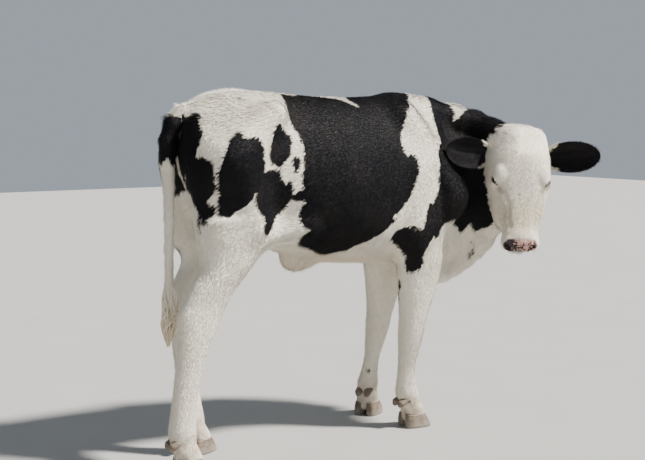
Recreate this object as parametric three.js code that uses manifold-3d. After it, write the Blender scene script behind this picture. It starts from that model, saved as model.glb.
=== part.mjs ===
import * as THREE from "three";
import { mergeVertices } from "three/addons/utils/BufferGeometryUtils.js";
import Module from "manifold-3d";

// A young dairy cow standing with its head turned to its right, at life size in millimetres.
// +X runs from tail to chest, +Y to the animal's left and +Z up; the soles stand on Z = 0.
// The flesh is one smooth field, below zero inside. It is sampled into closed shells, and cuts
// with a thin gap divide the shells into the named parts.

const WITHERS = 1150; // height of the animal at the withers
const DRAWN_WITHERS = 1200; // the tables and sizes below are drawn for this height
const GAP = 0.4; // between neighbouring parts, as drawn
const TRUNK_CELL = 52; // grids that the trunk and the neck are sampled on
const NECK_CELL = 45;
const LEG_SIDES = 10;
const HEAD_SIDES = 16;

const COLOURS = {
  white: [0xe9e2d3, 0.75],
  black: [0x1b191b, 0.6],
  horn: [0x7d6a55, 0.45],
  eye: [0x120d0b, 0.08],
};

// ---------- small vector and curve helpers ----------

const add = (a, b, t = 1) => [a[0] + b[0] * t, a[1] + b[1] * t, a[2] + b[2] * t];
const sub = (a, b) => [a[0] - b[0], a[1] - b[1], a[2] - b[2]];
const dot = (a, b) => a[0] * b[0] + a[1] * b[1] + a[2] * b[2];
const size = (a) => Math.hypot(a[0], a[1], a[2]);
const cross = (a, b) => [a[1] * b[2] - a[2] * b[1], a[2] * b[0] - a[0] * b[2], a[0] * b[1] - a[1] * b[0]];
const clamp = (t, low = 0, high = 1) => Math.min(Math.max(t, low), high);
const mix = (a, b, t) => a + (b - a) * t;
const ease = (t) => t * t * (3 - 2 * t);
const sideways = (p, side) => [p[0], p[1] * side, p[2]];

// A smooth curve through rows of [place, value, value, ...].
function curve(rows) {
  const slope = rows.map((row, i) => {
    const [a, b] = [rows[Math.max(i - 1, 0)], rows[Math.min(i + 1, rows.length - 1)]];
    return row.slice(1).map((_, k) => (b[k + 1] - a[k + 1]) / (b[0] - a[0]));
  });
  return (place) => {
    const at = clamp(place, rows[0][0], rows[rows.length - 1][0]);
    let i = 0;
    while (i < rows.length - 2 && at > rows[i + 1][0]) i++;
    const span = rows[i + 1][0] - rows[i][0];
    const t = (at - rows[i][0]) / span;
    return rows[i].slice(1).map((low, k) => {
      const high = rows[i + 1][k + 1];
      const bend = (1 - t) * slope[i][k] * span * (1 - t) * t;
      return mix(low, high, ease(t)) + bend - t * slope[i + 1][k] * span * (1 - t) * t;
    });
  };
}

// ---------- field helpers: joins, hollows and the basic forms ----------

function join(a, b, soft) {
  const h = Math.max(soft - Math.abs(a - b), 0) / soft;
  return Math.min(a, b) - (h * h * soft) / 4;
}
const hollow = (a, b, soft) => -join(-a, b, soft);

// A limb or muscle between two points, with a radius at each end.
function muscle(p, a, b, radiusA, radiusB) {
  const along = sub(b, a);
  const t = clamp(dot(sub(p, a), along) / dot(along, along));
  return size(sub(p, add(a, along, t))) - mix(radiusA, radiusB, t);
}

function lump(p, centre, radii) {
  const q = sub(p, centre);
  const near = Math.hypot(q[0] / radii[0], q[1] / radii[1], q[2] / radii[2]);
  const far = Math.hypot(q[0] / radii[0] ** 2, q[1] / radii[1] ** 2, q[2] / radii[2] ** 2);
  return far < 1e-9 ? -Math.min(...radii) : (near * (near - 1)) / far;
}

// Distance to an oval section: q is the point from its middle, r the half sizes.
function oval(qx, qy, rx, ry, power = 2) {
  const n = ((Math.abs(qx) / rx) ** power + (Math.abs(qy) / ry) ** power) ** (1 / power);
  return n < 1e-6 ? -Math.min(rx, ry) : Math.hypot(qx, qy) * (1 - 1 / n);
}

// ---------- trunk ----------

// Along X: top line, belly line, half width and the level where it is widest.
const trunkLine = curve([
  [-450, 1118, 930, 92, 1020],
  [-395, 1166, 838, 134, 1000],
  [-310, 1197, 750, 172, 985],
  [-185, 1208, 700, 190, 960],
  [-70, 1201, 668, 207, 905],
  [70, 1192, 628, 222, 880],
  [210, 1190, 612, 218, 870],
  [340, 1196, 604, 190, 880],
  [430, 1198, 598, 166, 880],
  [520, 1176, 596, 142, 880],
  [600, 1116, 620, 116, 870],
]);
const RUMP_END = -454;
const CHEST_END = 628;

function trunk(p) {
  const [top, belly, half, level] = trunkLine(p[0]);
  const [tall, power] = p[2] > level ? [top - level, 1.9] : [level - belly, 2.25];
  const section = oval(p[1], p[2] - level, half, tall, power);
  const ends = Math.max(RUMP_END - p[0], p[0] - CHEST_END);
  return -join(-section, -ends, 110);
}

const SHOULDER = { blade: [385, 88, 1110], point: [565, 112, 835], elbow: [410, 118, 690] };
const HIP = {
  hook: [-178, 142, 1130], joint: [-325, 100, 985], pin: [-408, 76, 1075], stifle: [-255, 128, 775],
};

function sideMuscles(p, side) {
  const at = (name) => sideways(name, side);
  const { blade, point, elbow } = SHOULDER;
  const { hook, joint, pin, stifle } = HIP;
  let d = muscle(p, at(blade), at(point), 62, 72);
  d = join(d, muscle(p, at(point), at(elbow), 72, 66), 60);
  d = join(d, muscle(p, at([395, 112, 930]), at([400, 112, 740]), 76, 66), 60);
  d = join(d, muscle(p, at(hook), at(joint), 46, 96), 80);
  d = join(d, muscle(p, at(joint), at(stifle), 104, 76), 70);
  d = join(d, muscle(p, at(pin), at([-362, 106, 740]), 48, 66), 70);
  return join(d, muscle(p, at([-60, 160, 760]), at([-215, 128, 740]), 30, 38), 50);
}

// ---------- legs ----------

// Up each leg: height, how far the bone line lies ahead of the cannon, half depth and half width.
const HIND_LEG = curve([
  [20, 30, 44, 43],
  [50, 24, 44, 43],
  [75, 13, 43, 41],
  [98, 3, 42, 38],
  [130, -3, 45, 39],
  [175, -5, 43, 34],
  [240, -6, 41, 31],
  [330, 0, 46, 34],
  [395, 8, 56, 38],
  [445, 17, 67, 40],
  [500, 24, 80, 41],
  [530, 36, 82, 43],
  [580, 60, 84, 50],
  [640, 99, 92, 60],
  [700, 118, 114, 67],
  [760, 130, 136, 71],
  [800, 128, 138, 72],
]);
const FORE_LEG = curve([
  [20, 30, 43, 42],
  [50, 27, 43, 42],
  [70, 20, 42, 41],
  [95, 8, 40, 37],
  [130, -6, 42, 38],
  [170, -11, 37, 31],
  [225, -13, 34, 28],
  [290, -9, 40, 36],
  [340, -6, 47, 42],
  [385, -3, 51, 43],
  [440, 3, 62, 45],
  [500, 8, 76, 50],
  [560, 10, 88, 54],
  [620, 6, 97, 60],
  [680, -4, 104, 62],
  [740, -6, 106, 60],
]);

// Each leg: its profile, where it stands, passes its middle joint and meets the body, and how far
// the toes turn out to the left, in degrees.
const ANKLE = 60;
const LEGS = {
  hind_right: {
    line: HIND_LEG, toes: -6, top: 800,
    way: curve([[ANKLE, -512, -126], [470, -463, -120], [1000, -400, -112]]),
  },
  hind_left: {
    line: HIND_LEG, toes: 22, top: 800,
    way: curve([[ANKLE, -374, 54], [470, -392, 84], [1000, -400, 112]]),
  },
  fore_right: {
    line: FORE_LEG, toes: -6, top: 740,
    way: curve([[ANKLE, 432, -68], [385, 434, -97], [900, 462, -112]]),
  },
  fore_left: {
    line: FORE_LEG, toes: 28, top: 740,
    way: curve([[ANKLE, 405, 152], [385, 452, 124], [900, 462, 116]]),
  },
};
const TURNED_BELOW = [180, 420]; // the toes' turn fades out between these heights

// The middle of a leg at a height, its forward direction, half depth and half width.
function legMiddle(leg, z) {
  const [x, y] = leg.way(z);
  const [ahead, halfDepth, halfWidth] = leg.line(z);
  const fade = 1 - ease(clamp((z - TURNED_BELOW[0]) / (TURNED_BELOW[1] - TURNED_BELOW[0])));
  const turn = THREE.MathUtils.degToRad(leg.toes * fade);
  const forward = [Math.cos(turn), Math.sin(turn)];
  return { x: x + ahead * forward[0], y: y + ahead * forward[1], forward, halfDepth, halfWidth };
}

const LEG_FOOT = 20;

function legField(p, leg) {
  const { x, y, forward, halfDepth, halfWidth } = legMiddle(leg, p[2]);
  const [dx, dy] = [p[0] - x, p[1] - y];
  const along = dx * forward[0] + dy * forward[1];
  const across = dy * forward[0] - dx * forward[1];
  const section = oval(along, across, halfDepth, halfWidth, 2.2);
  return -join(-section, -Math.max(LEG_FOOT - p[2], p[2] - leg.top), 12);
}

// ---------- neck ----------

// Rows of balls along the neck, each x, y, z and radius.
const NECK = {
  crest: [
    [400, 0, 1128, 60], [560, 0, 1134, 54], [680, -12, 1112, 50], [756, -44, 1094, 47],
    [790, -112, 1062, 48], [796, -190, 1036, 50],
  ],
  middle: [
    [430, 0, 960, 130], [600, -4, 950, 112], [720, -38, 945, 96], [800, -110, 952, 84],
    [815, -185, 960, 74],
  ],
  throat: [[545, 0, 770, 112], [655, -10, 785, 96], [740, -52, 810, 82], [806, -122, 852, 66]],
  gullet: [[580, 0, 670, 96], [670, -14, 690, 74], [722, -52, 725, 58], [764, -108, 780, 54]],
  dewlap: [
    [575, 0, 544, 48], [640, -2, 550, 42], [690, -16, 570, 38], [722, -42, 598, 36],
    [742, -76, 630, 35], [756, -110, 668, 35], [776, -136, 722, 36], [808, -154, 782, 38],
    [838, -164, 832, 42],
  ],
};

function chain(p, points, soft) {
  let d = 1e9;
  for (let i = 0; i < points.length - 1; i++) {
    const [a, b] = [points[i], points[i + 1]];
    d = join(d, muscle(p, a, b, a[3], b[3]), soft);
  }
  return d;
}

function neck(p) {
  let d = join(chain(p, NECK.crest, 30), chain(p, NECK.middle, 30), 70);
  d = join(d, chain(p, NECK.throat, 30), 60);
  d = join(d, chain(p, NECK.gullet, 30), 50);
  return join(d, chain(p, NECK.dewlap, 20), 45);
}

// ---------- head ----------

// The head's own frame: forward from poll to nose, left, and up out of the forehead.
const POLL = [802, -250, 1082];
const HEAD_YAW = -123;
const HEAD_PITCH = 64.5;
const HEAD_TILT = -2.2;
const headTurn = new THREE.Matrix4()
  .makeRotationZ(THREE.MathUtils.degToRad(HEAD_YAW))
  .multiply(new THREE.Matrix4().makeRotationX(THREE.MathUtils.degToRad(HEAD_TILT)))
  .multiply(new THREE.Matrix4().makeRotationY(THREE.MathUtils.degToRad(HEAD_PITCH)));
const headAxes = [0, 4, 8].map((k) => headTurn.elements.slice(k, k + 3));
// The face bends a little to its right towards the nose.
const bend = (s) => 10 * (Math.max(s - 200, 0) / 247) ** 2;
const toHead = (p) => {
  const q = headAxes.map((axis) => dot(sub(p, POLL), axis));
  return [q[0], q[1] + bend(q[0]), q[2]];
};
const fromHead = ([s, left, out]) =>
  [s, left - bend(s), out].reduce((p, value, k) => add(p, headAxes[k], value), POLL);

// From poll to nose: face line, jaw line, half width at the brow and at the jaw.
const HEAD_LINE = curve([
  [-20, -44, -120, 69, 48],
  [20, -17, -165, 101, 64],
  [80, 0, -196, 112, 78],
  [140, 3, -207, 115, 88],
  [190, -1, -200, 114, 94],
  [240, -7, -184, 100, 94],
  [290, -11, -165, 84, 86],
  [350, -13, -140, 69, 67],
  [400, -17, -118, 62, 53],
  [436, -34, -110, 55, 46],
]);
const HEAD_ENDS = [-28, 447];
const EYE = { centre: [197, 85, -34], radius: 19 };

function head(p) {
  const q = toHead(p);
  const w = Math.abs(q[1]);
  const m = [q[0], w, q[2]];
  const [face, jaw, brow, cheek] = HEAD_LINE(q[0]);
  const level = mix(jaw, face, 0.62);
  const high = clamp((q[2] - jaw) / (face - jaw));
  const half = mix(cheek, brow, ease(clamp((high - 0.2) / 0.45)));
  let d = oval(q[1], q[2] - level, half, q[2] > level ? face - level : level - jaw, 2.5);
  d = -join(-d, -Math.max(HEAD_ENDS[0] - q[0], q[0] - HEAD_ENDS[1]), 36);
  d = join(d, lump(q, [14, 11, -40], [38, 78, 31]), 34);
  d = join(d, lump(m, [176, 78, -20], [30, 20, 18]), 22);
  d = join(d, lump(m, [134, 60, -118], [74, 34, 64]), 26);
  d = join(d, lump(m, [270, 62, -114], [70, 30, 44]), 24);
  d = join(d, lump(q, [412, 0, -54], [38, 61, 38]), 22);
  d = join(d, lump(m, [422, 40, -48], [24, 24, 24]), 14);
  d = join(d, lump(q, [402, 0, -104], [34, 38, 24]), 16);
  d = hollow(d, lump(m, [202, 106, -24], [22, 13, 14]), 8);
  return hollow(d, lump(m, [442, 38, -50], [14, 9, 14]), 7);
}

// ---------- the whole flesh ----------

function flesh(p) {
  let d = trunk(p);
  for (const side of [-1, 1]) d = join(d, sideMuscles(p, side), 55);
  d = join(d, neck(p), 60);
  for (const leg of Object.values(LEGS)) d = join(d, legField(p, leg), 30);
  d = join(d, lump(p, [8, 0, 640], [74, 32, 46]), 40);
  return join(d, head(p), 34);
}

// ---------- from field to closed solids ----------

const wasm = await Module();
wasm.setup();

function solidOf(geometry) {
  const bare = new THREE.BufferGeometry();
  bare.setAttribute("position", geometry.getAttribute("position"));
  bare.setIndex(geometry.index);
  const whole = mergeVertices(bare);
  return new wasm.Manifold(new wasm.Mesh({
    numProp: 3,
    vertProperties: whole.getAttribute("position").array,
    triVerts: Uint32Array.from(whole.index.array),
  }));
}

function geometryOf(points, triangles) {
  const geometry = new THREE.BufferGeometry();
  geometry.setAttribute("position", new THREE.Float32BufferAttribute(points.flat(), 3));
  geometry.setIndex(triangles.flat());
  return geometry;
}

// A closed form through rings of points, with a middle point to close each end.
function loft(rings) {
  const sides = rings[0].length;
  const middle = (ring) => ring.reduce((sum, p) => add(sum, p, 1 / sides), [0, 0, 0]);
  const points = [...rings.flat(), middle(rings[0]), middle(rings[rings.length - 1])];
  const triangles = [];
  const last = (rings.length - 1) * sides;
  for (let j = 0; j < sides; j++) {
    const next = (j + 1) % sides;
    for (let row = 0; row < last; row += sides) {
      triangles.push([row + j, row + next, row + sides + j]);
      triangles.push([row + next, row + sides + next, row + sides + j]);
    }
    triangles.push([next, j, points.length - 2], [last + j, last + next, points.length - 1]);
  }
  let volume = 0;
  for (const [a, b, c] of triangles) {
    volume += dot(points[a], cross(sub(points[b], points[a]), sub(points[c], points[a])));
  }
  if (volume < 0) triangles.forEach((triangle) => triangle.reverse());
  return solidOf(geometryOf(points, triangles));
}

// The distance from a point inside the flesh to its surface in one direction, up to a limit.
function reach(start, direction, limit) {
  const step = 6;
  let far = step;
  while (far < limit && flesh(add(start, direction, far)) < 0) far += step;
  if (far >= limit) return limit;
  let near = far - step;
  for (let i = 0; i < 8; i++) {
    const half = (near + far) / 2;
    if (flesh(add(start, direction, half)) < 0) near = half;
    else far = half;
  }
  return far;
}

function slope(p, width = 1.5) {
  const rise = [0, 1, 2].map((k) => {
    const side = [0, 0, 0];
    side[k] = width;
    return flesh(add(p, side)) - flesh(sub(p, side));
  });
  const length = size(rise) || 1;
  return { normal: rise.map((r) => r / length), steep: length / (2 * width) };
}

// The surface of the flesh inside a box of cubic cells: one point in each cell that the surface
// passes through, drawn onto the surface, and two triangles across each grid edge that it cuts.
function fleshNet(low, high, cell) {
  const count = low.map((start, k) => Math.ceil((high[k] - start) / cell) + 1);
  const index = (i, j, k) => (k * count[1] + j) * count[0] + i;
  const value = new Float64Array(count[0] * count[1] * count[2]);
  for (let k = 0; k < count[2]; k++) {
    for (let j = 0; j < count[1]; j++) {
      for (let i = 0; i < count[0]; i++) {
        const rim = [i, j, k].some((n, axis) => n === 0 || n === count[axis] - 1);
        const p = add(low, [i, j, k], cell);
        value[index(i, j, k)] = rim ? cell : flesh(p);
      }
    }
  }
  const steps = [1, count[0], count[0] * count[1]];
  const corners = [...Array(8).keys()].map((c) => [c & 1, (c >> 1) & 1, c >> 2]);
  const points = [];
  const pointIn = new Map();
  for (let k = 0; k < count[2] - 1; k++) {
    for (let j = 0; j < count[1] - 1; j++) {
      for (let i = 0; i < count[0] - 1; i++) {
        const inside = corners.map((c) => value[index(i + c[0], j + c[1], k + c[2])]);
        const crossings = [];
        for (let a = 0; a < 8; a++) {
          for (const axis of [0, 1, 2]) {
            const b = a | (1 << axis);
            if (b === a || inside[a] < 0 === inside[b] < 0) continue;
            const t = inside[a] / (inside[a] - inside[b]);
            crossings.push(corners[a].map((n, m) => mix(n, corners[b][m], t)));
          }
        }
        if (!crossings.length) continue;
        const mean = crossings.reduce((sum, c) => add(sum, c, 1 / crossings.length), [0, 0, 0]);
        let p = add(add(low, [i, j, k], cell), mean, cell);
        for (let turn = 0; turn < 3; turn++) {
          const { normal, steep } = slope(p);
          p = add(p, normal, -clamp(flesh(p) / Math.max(steep, 0.5), -cell / 4, cell / 4));
        }
        pointIn.set(index(i, j, k), points.length);
        points.push(p);
      }
    }
  }
  const triangles = [];
  for (let k = 0; k < count[2] - 1; k++) {
    for (let j = 0; j < count[1] - 1; j++) {
      for (let i = 0; i < count[0] - 1; i++) {
        const here = index(i, j, k);
        for (const axis of [0, 1, 2]) {
          const there = here + steps[axis];
          if (value[here] < 0 === value[there] < 0) continue;
          const [u, v] = [steps[(axis + 1) % 3], steps[(axis + 2) % 3]];
          const ring = [here - u - v, here - v, here, here - u].map((cellIndex) => pointIn.get(cellIndex));
          if (value[here] >= 0) ring.reverse();
          const [a, b, c, d] = ring;
          const crossed = size(sub(points[a], points[c])) > size(sub(points[b], points[d]));
          triangles.push(...(crossed ? [[a, b, d], [b, c, d]] : [[a, b, c], [a, c, d]]));
        }
      }
    }
  }
  return solidOf(geometryOf(points, triangles));
}

// ---------- cutting blocks ----------

// A box between two corners, grown on every side; a turn places it in another frame.
function block(low, high, grow = 0, turn = new THREE.Matrix4()) {
  const [a, b] = [low.map((n) => n - grow), high.map((n) => n + grow)];
  const box = new THREE.BoxGeometry(b[0] - a[0], b[1] - a[1], b[2] - a[2]);
  box.translate((a[0] + b[0]) / 2, (a[1] + b[1]) / 2, (a[2] + b[2]) / 2);
  return solidOf(box.applyMatrix4(turn));
}

const keepIn = (solid, region) => solid.intersect(region(-GAP / 2));
const cutOut = (solid, region) => solid.subtract(region(GAP / 2));
const onSide = (low, high, side) => {
  const [a, b] = [low[1] * side, high[1] * side].sort((m, n) => m - n);
  return [[low[0], a, low[2]], [high[0], b, high[2]]];
};

const FAR = 900;
const HEAD_CUT = { back: -24, slant: 30.2, above: -70, half: 138, deep: [[0, 288], [150, 372]] };
const NECK_CUT = { x: 505, z: 900, slant: 21 };
const THIGH = { x: [-700, -172], inner: 62, lowInner: 12, z: [640, 760, 1008] };
const UPPER_ARM = { x: [318, 660], inner: 96, lowInner: 46, z: [640, 1000] };

// The head's block is turned so that its back face runs from behind the poll to the throat.
function headBlock(grow) {
  const turn = headTurn.clone().setPosition(...POLL);
  turn.multiply(new THREE.Matrix4().makeTranslation(HEAD_CUT.back, 0, 0));
  turn.multiply(new THREE.Matrix4().makeRotationY(-THREE.MathUtils.degToRad(HEAD_CUT.slant)));
  const [back, front] = HEAD_CUT.deep.map(([start, deep]) =>
    block([start, -HEAD_CUT.half, -deep], [520, HEAD_CUT.half, -HEAD_CUT.above], grow, turn));
  return back.add(front);
}

// All that lies ahead of a slanting face from the withers down to the brisket.
function neckBlock(grow) {
  const turn = new THREE.Matrix4().makeTranslation(NECK_CUT.x, 0, NECK_CUT.z);
  turn.multiply(new THREE.Matrix4().makeRotationY(-THREE.MathUtils.degToRad(NECK_CUT.slant)));
  return block([0, -FAR, -FAR], [FAR, FAR, FAR], grow, turn);
}

const thighBlock = (side) => (grow) => {
  const { x, inner, lowInner, z } = THIGH;
  const upper = block(...onSide([x[0], inner, z[0]], [x[1], FAR, z[2]], side), grow);
  const lower = block(...onSide([x[0], lowInner, z[0]], [x[1], FAR, z[1]], side), grow);
  return upper.add(lower);
};
const shoulderBlock = (side) => (grow) => {
  const { x, inner, z } = UPPER_ARM;
  return block(...onSide([x[0], inner, z[0]], [x[1], FAR, z[1]], side), grow);
};
const limbBlock = (cut, side) => (grow) =>
  block(...onSide([cut.x[0], cut.lowInner, -FAR], [cut.x[1], FAR, cut.z[0]], side), grow);
const between = (bottom, top) => (grow) => block([-FAR, -FAR, bottom], [FAR, FAR, top], grow);

// ---------- parts of the model ----------

const cow = new THREE.Group();
const SCALE = WITHERS / DRAWN_WITHERS;

function addPart(name, solid, look) {
  const { vertProperties, triVerts } = solid.getMesh();
  const geometry = new THREE.BufferGeometry();
  geometry.setAttribute("position", new THREE.BufferAttribute(vertProperties, 3));
  geometry.setIndex(new THREE.BufferAttribute(triVerts, 1));
  geometry.scale(SCALE, SCALE, SCALE);
  const [color, roughness] = COLOURS[look];
  const part = new THREE.Mesh(geometry, new THREE.MeshStandardMaterial({ color, roughness, metalness: 0 }));
  part.name = name;
  cow.add(part);
}

const SIDES = { right: -1, left: 1 };

// ---------- torso: trunk, neck, shoulders and thighs ----------

const torso = fleshNet([-540, -340, 450], [760, 340, 1290], TRUNK_CELL);
let trunkSolid = cutOut(torso, neckBlock);
for (const [name, side] of Object.entries(SIDES)) {
  addPart(`thigh_${name}`, keepIn(torso, thighBlock(side)), "white");
  addPart(`shoulder_${name}`, cutOut(keepIn(torso, shoulderBlock(side)), neckBlock), "black");
  const limbs = [THIGH, UPPER_ARM].map((cut) => limbBlock(cut, side));
  for (const region of [thighBlock(side), shoulderBlock(side), ...limbs]) {
    trunkSolid = cutOut(trunkSolid, region);
  }
}

// ---------- legs and feet ----------

const COFFIN = 50; // height where the hair ends and the claws begin
const FETLOCK = 130;
const LEG_RINGS = 18;
const LEG_REACH = 190;
const CUTS = {
  hind: { limb: "shank", joint: 400, block: THIGH },
  fore: { limb: "forearm", joint: 345, block: UPPER_ARM },
};

function legShell(leg, top) {
  const rings = [];
  for (let i = 0; i <= LEG_RINGS; i++) {
    const z = mix(LEG_FOOT + 12, top, i / LEG_RINGS);
    const { x, y } = legMiddle(leg, z);
    const ring = [];
    for (let j = 0; j < LEG_SIDES; j++) {
      const angle = (2 * Math.PI * (j + 0.5)) / LEG_SIDES;
      const out = [Math.cos(angle), Math.sin(angle), 0];
      ring.push(add([x, y, z], out, reach([x, y, z], out, LEG_REACH)));
    }
    rings.push(ring);
  }
  return loft(rings);
}

// A place in a foot's own frame, ahead, to the left and up, as a place in the model.
const footFrame = (leg, height) => (ahead, left, z) => {
  const { x, y, forward } = legMiddle(leg, height);
  return [x + ahead * forward[0] - left * forward[1], y + ahead * forward[1] + left * forward[0], z];
};

// Rings of a claw: height, heel, toe, and the inner and outer side.
const CLAW = [
  [0, -43, 58, 3, 44],
  [8, -45, 57, 2.5, 47],
  [30, -45, 46, 2.5, 46],
  [COFFIN - GAP, -42, 34, 2.5, 42],
];
const CLAW_SIDES = 10;

function claw(leg, side) {
  const place = footFrame(leg, COFFIN);
  return loft(CLAW.map(([z, heel, toe, inner, outer]) => {
    const ring = [];
    for (let j = 0; j < CLAW_SIDES; j++) {
      const angle = (2 * Math.PI * j) / CLAW_SIDES;
      const across = Math.sign(Math.sin(angle)) * Math.abs(Math.sin(angle)) ** 0.7;
      const ahead = mix(heel, toe, (1 + Math.cos(angle)) / 2);
      ring.push(place(ahead, side * mix(inner, outer, (1 + across) / 2), z));
    }
    return ring;
  }));
}

// A small claw behind the fetlock, pointing back and down.
const DEW = { height: 106, ahead: -34, aside: 18, length: 30, radii: [15, 14, 8], sides: 6 };

function dewclaw(leg, side, grow = 0) {
  const place = footFrame(leg, DEW.height);
  return loft(DEW.radii.map((radius, i) => {
    const down = (DEW.length / 2) * i;
    const ring = [];
    for (let j = 0; j < DEW.sides; j++) {
      const angle = (2 * Math.PI * j) / DEW.sides;
      const [u, v] = [(radius + grow) * Math.cos(angle), (radius + grow) * Math.sin(angle)];
      const ahead = DEW.ahead + 0.8 * u - (0.45 + 0.05 * i) * down + (i ? 0 : grow + 14);
      ring.push(place(ahead, side * DEW.aside + v, DEW.height - 0.6 * u - 0.85 * down));
    }
    return ring;
  }));
}

for (const [name, leg] of Object.entries(LEGS)) {
  const [end, sideName] = name.split("_");
  const { limb, joint, block: cut } = CUTS[end];
  const whole = legShell(leg, cut.z[0] + 30);
  const upper = keepIn(keepIn(whole, limbBlock(cut, SIDES[sideName])), between(joint, FAR));
  addPart(`${end}_${limb}_${sideName}`, cutOut(upper, neckBlock), "white");
  addPart(`${end}_cannon_${sideName}`, keepIn(whole, between(FETLOCK, joint)), "white");
  let pastern = keepIn(whole, between(COFFIN, FETLOCK));
  for (const [place, way] of [["inner", -SIDES[sideName]], ["outer", SIDES[sideName]]]) {
    pastern = pastern.subtract(dewclaw(leg, way, GAP));
    addPart(`${end}_claw_${sideName}_${place}`, claw(leg, way), "horn");
    addPart(`${end}_dewclaw_${sideName}_${place}`, keepIn(dewclaw(leg, way), between(0, FETLOCK)), "horn");
  }
  addPart(`${end}_pastern_${sideName}`, pastern, "white");
}

// ---------- ears ----------

// In the head's frame: root, tip and the half width, half thickness and cup along the ear.
const EAR = {
  root: [78, 84, -92], tip: [110, 276, 26],
  line: curve([
    [0, 22, 17, 0], [0.12, 27, 15, 0.02], [0.22, 41, 11, 0.2], [0.32, 50, 8, 0.3], [0.52, 56, 6, 0.36],
    [0.73, 51, 5, 0.34], [0.9, 34, 5, 0.2], [1, 9, 4, 0],
  ]),
  rings: 8, sides: 10,
};

function ear(side, grow = 0) {
  const axis = sub(EAR.tip, EAR.root);
  const length = size(axis);
  const upright = cross(axis, [0.4305, 0, 0.9026]);
  const across = add([0, 0, 0], upright, 1 / size(upright));
  const facing = cross(across, axis).map((n) => n / length);
  const rings = [];
  for (let i = 0; i <= EAR.rings; i++) {
    const [half, thick, cup] = EAR.line(i / EAR.rings);
    const ring = [];
    for (let j = 0; j < EAR.sides; j++) {
      const angle = (2 * Math.PI * j) / EAR.sides;
      const wide = (half + grow) * Math.cos(angle);
      const deep = (thick + grow) * Math.sin(angle) + cup * half * (Math.cos(angle) ** 2 - 0.5);
      const q = add(add(add(EAR.root, axis, i / EAR.rings), across, wide), facing, deep);
      ring.push(fromHead([q[0], q[1] * side, q[2]]));
    }
    rings.push(ring);
  }
  return loft(rings);
}

// ---------- head, eyes and neck ----------

const HEAD_RINGS = 18;
const HEAD_REACH = 250;
const HEAD_BACK = -70; // the first ring, in the neck behind the poll

function headShell() {
  const rings = [];
  for (let i = 0; i <= HEAD_RINGS; i++) {
    const t = i / HEAD_RINGS;
    const s = mix(HEAD_BACK, HEAD_ENDS[1] - 1.5, 0.35 * Math.sin((Math.PI / 2) * t) + 0.65 * t);
    const [face, jaw] = HEAD_LINE(s);
    const middle = [s, 0, (face + jaw) / 2 + 8];
    const ring = [];
    for (let j = 0; j < HEAD_SIDES; j++) {
      const angle = (2 * Math.PI * j) / HEAD_SIDES;
      const outHead = [0, Math.cos(angle), Math.sin(angle)];
      const start = fromHead(middle);
      const out = sub(fromHead(add(middle, outHead)), start);
      ring.push(add(start, out, reach(start, out, HEAD_REACH)));
    }
    rings.push(ring);
  }
  return loft(rings);
}

function eyeball(side, grow = 0) {
  const ball = new THREE.SphereGeometry(EYE.radius + grow, 12, 7);
  return solidOf(ball.translate(...fromHead(sideways(EYE.centre, side))));
}

let headSolid = keepIn(headShell(), headBlock);
let neckSolid = keepIn(fleshNet([340, -380, 430], [980, 260, 1260], NECK_CELL), neckBlock);
neckSolid = cutOut(neckSolid, headBlock);
for (const [name, side] of Object.entries(SIDES)) {
  headSolid = headSolid.subtract(eyeball(side, GAP)).subtract(ear(side, GAP));
  neckSolid = neckSolid.subtract(ear(side, GAP));
  addPart(`ear_${name}`, ear(side), "black");
  addPart(`eye_${name}`, eyeball(side), "eye");
}
addPart("head", headSolid, "white");
addPart("neck", neckSolid, "black");

// ---------- tail ----------

// Along the tail: x, y, z and radius.
const TAIL = [
  [-392, 0, 1134, 30], [-430, 0, 1130, 31], [-468, -1, 1098, 31], [-487, -3, 1046, 30], [-489, -6, 980, 27],
  [-486, -9, 900, 21], [-489, -12, 800, 16], [-491, -14, 700, 14], [-492, -15, 590, 16],
];
const SWITCH = [
  [-492, -15, 589, 16], [-489, -16, 545, 25], [-491, -17, 490, 29], [-498, -18, 440, 24], [-500, -20, 392, 7],
];

function rope(rows, steps, sides, grow = 0) {
  const path = new THREE.CatmullRomCurve3(rows.map(([x, y, z]) => new THREE.Vector3(x, y, z)));
  const radius = curve(rows.map((row, i) => [i / (rows.length - 1), row[3]]));
  const rings = [];
  for (let i = 0; i <= steps; i++) {
    const t = i / steps;
    const [middle, ahead] = [path.getPoint(t).toArray(), path.getTangent(t).toArray()];
    const across = [0, 1, 0];
    const up = cross(ahead, across);
    const ring = [];
    for (let j = 0; j < sides; j++) {
      const angle = (2 * Math.PI * j) / sides;
      const r = radius(t)[0] + grow;
      ring.push(add(add(middle, across, r * Math.cos(angle)), up, r * Math.sin(angle)));
    }
    rings.push(ring);
  }
  return loft(rings);
}

const TAIL_STEPS = 15;
const SWITCH_STEPS = 8;
const TAIL_SIDES = 8;
const tailEnd = TAIL[TAIL.length - 1][2];
addPart("tail", keepIn(rope(TAIL, TAIL_STEPS, TAIL_SIDES), between(tailEnd, 2 * FAR)), "black");
addPart("tail_switch", keepIn(rope(SWITCH, SWITCH_STEPS, TAIL_SIDES), between(0, tailEnd)), "white");
addPart("trunk", trunkSolid.subtract(rope(TAIL, TAIL_STEPS, TAIL_SIDES, GAP)), "white");

// The origin lies on the floor under the middle of the whole.
const bounds = new THREE.Box3().setFromObject(cow);
cow.position.set(-(bounds.min.x + bounds.max.x) / 2, -(bounds.min.y + bounds.max.y) / 2, -bounds.min.z);

export default cow;
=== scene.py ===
import math
import bpy
import numpy as np
from mathutils import Matrix, Vector


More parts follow.
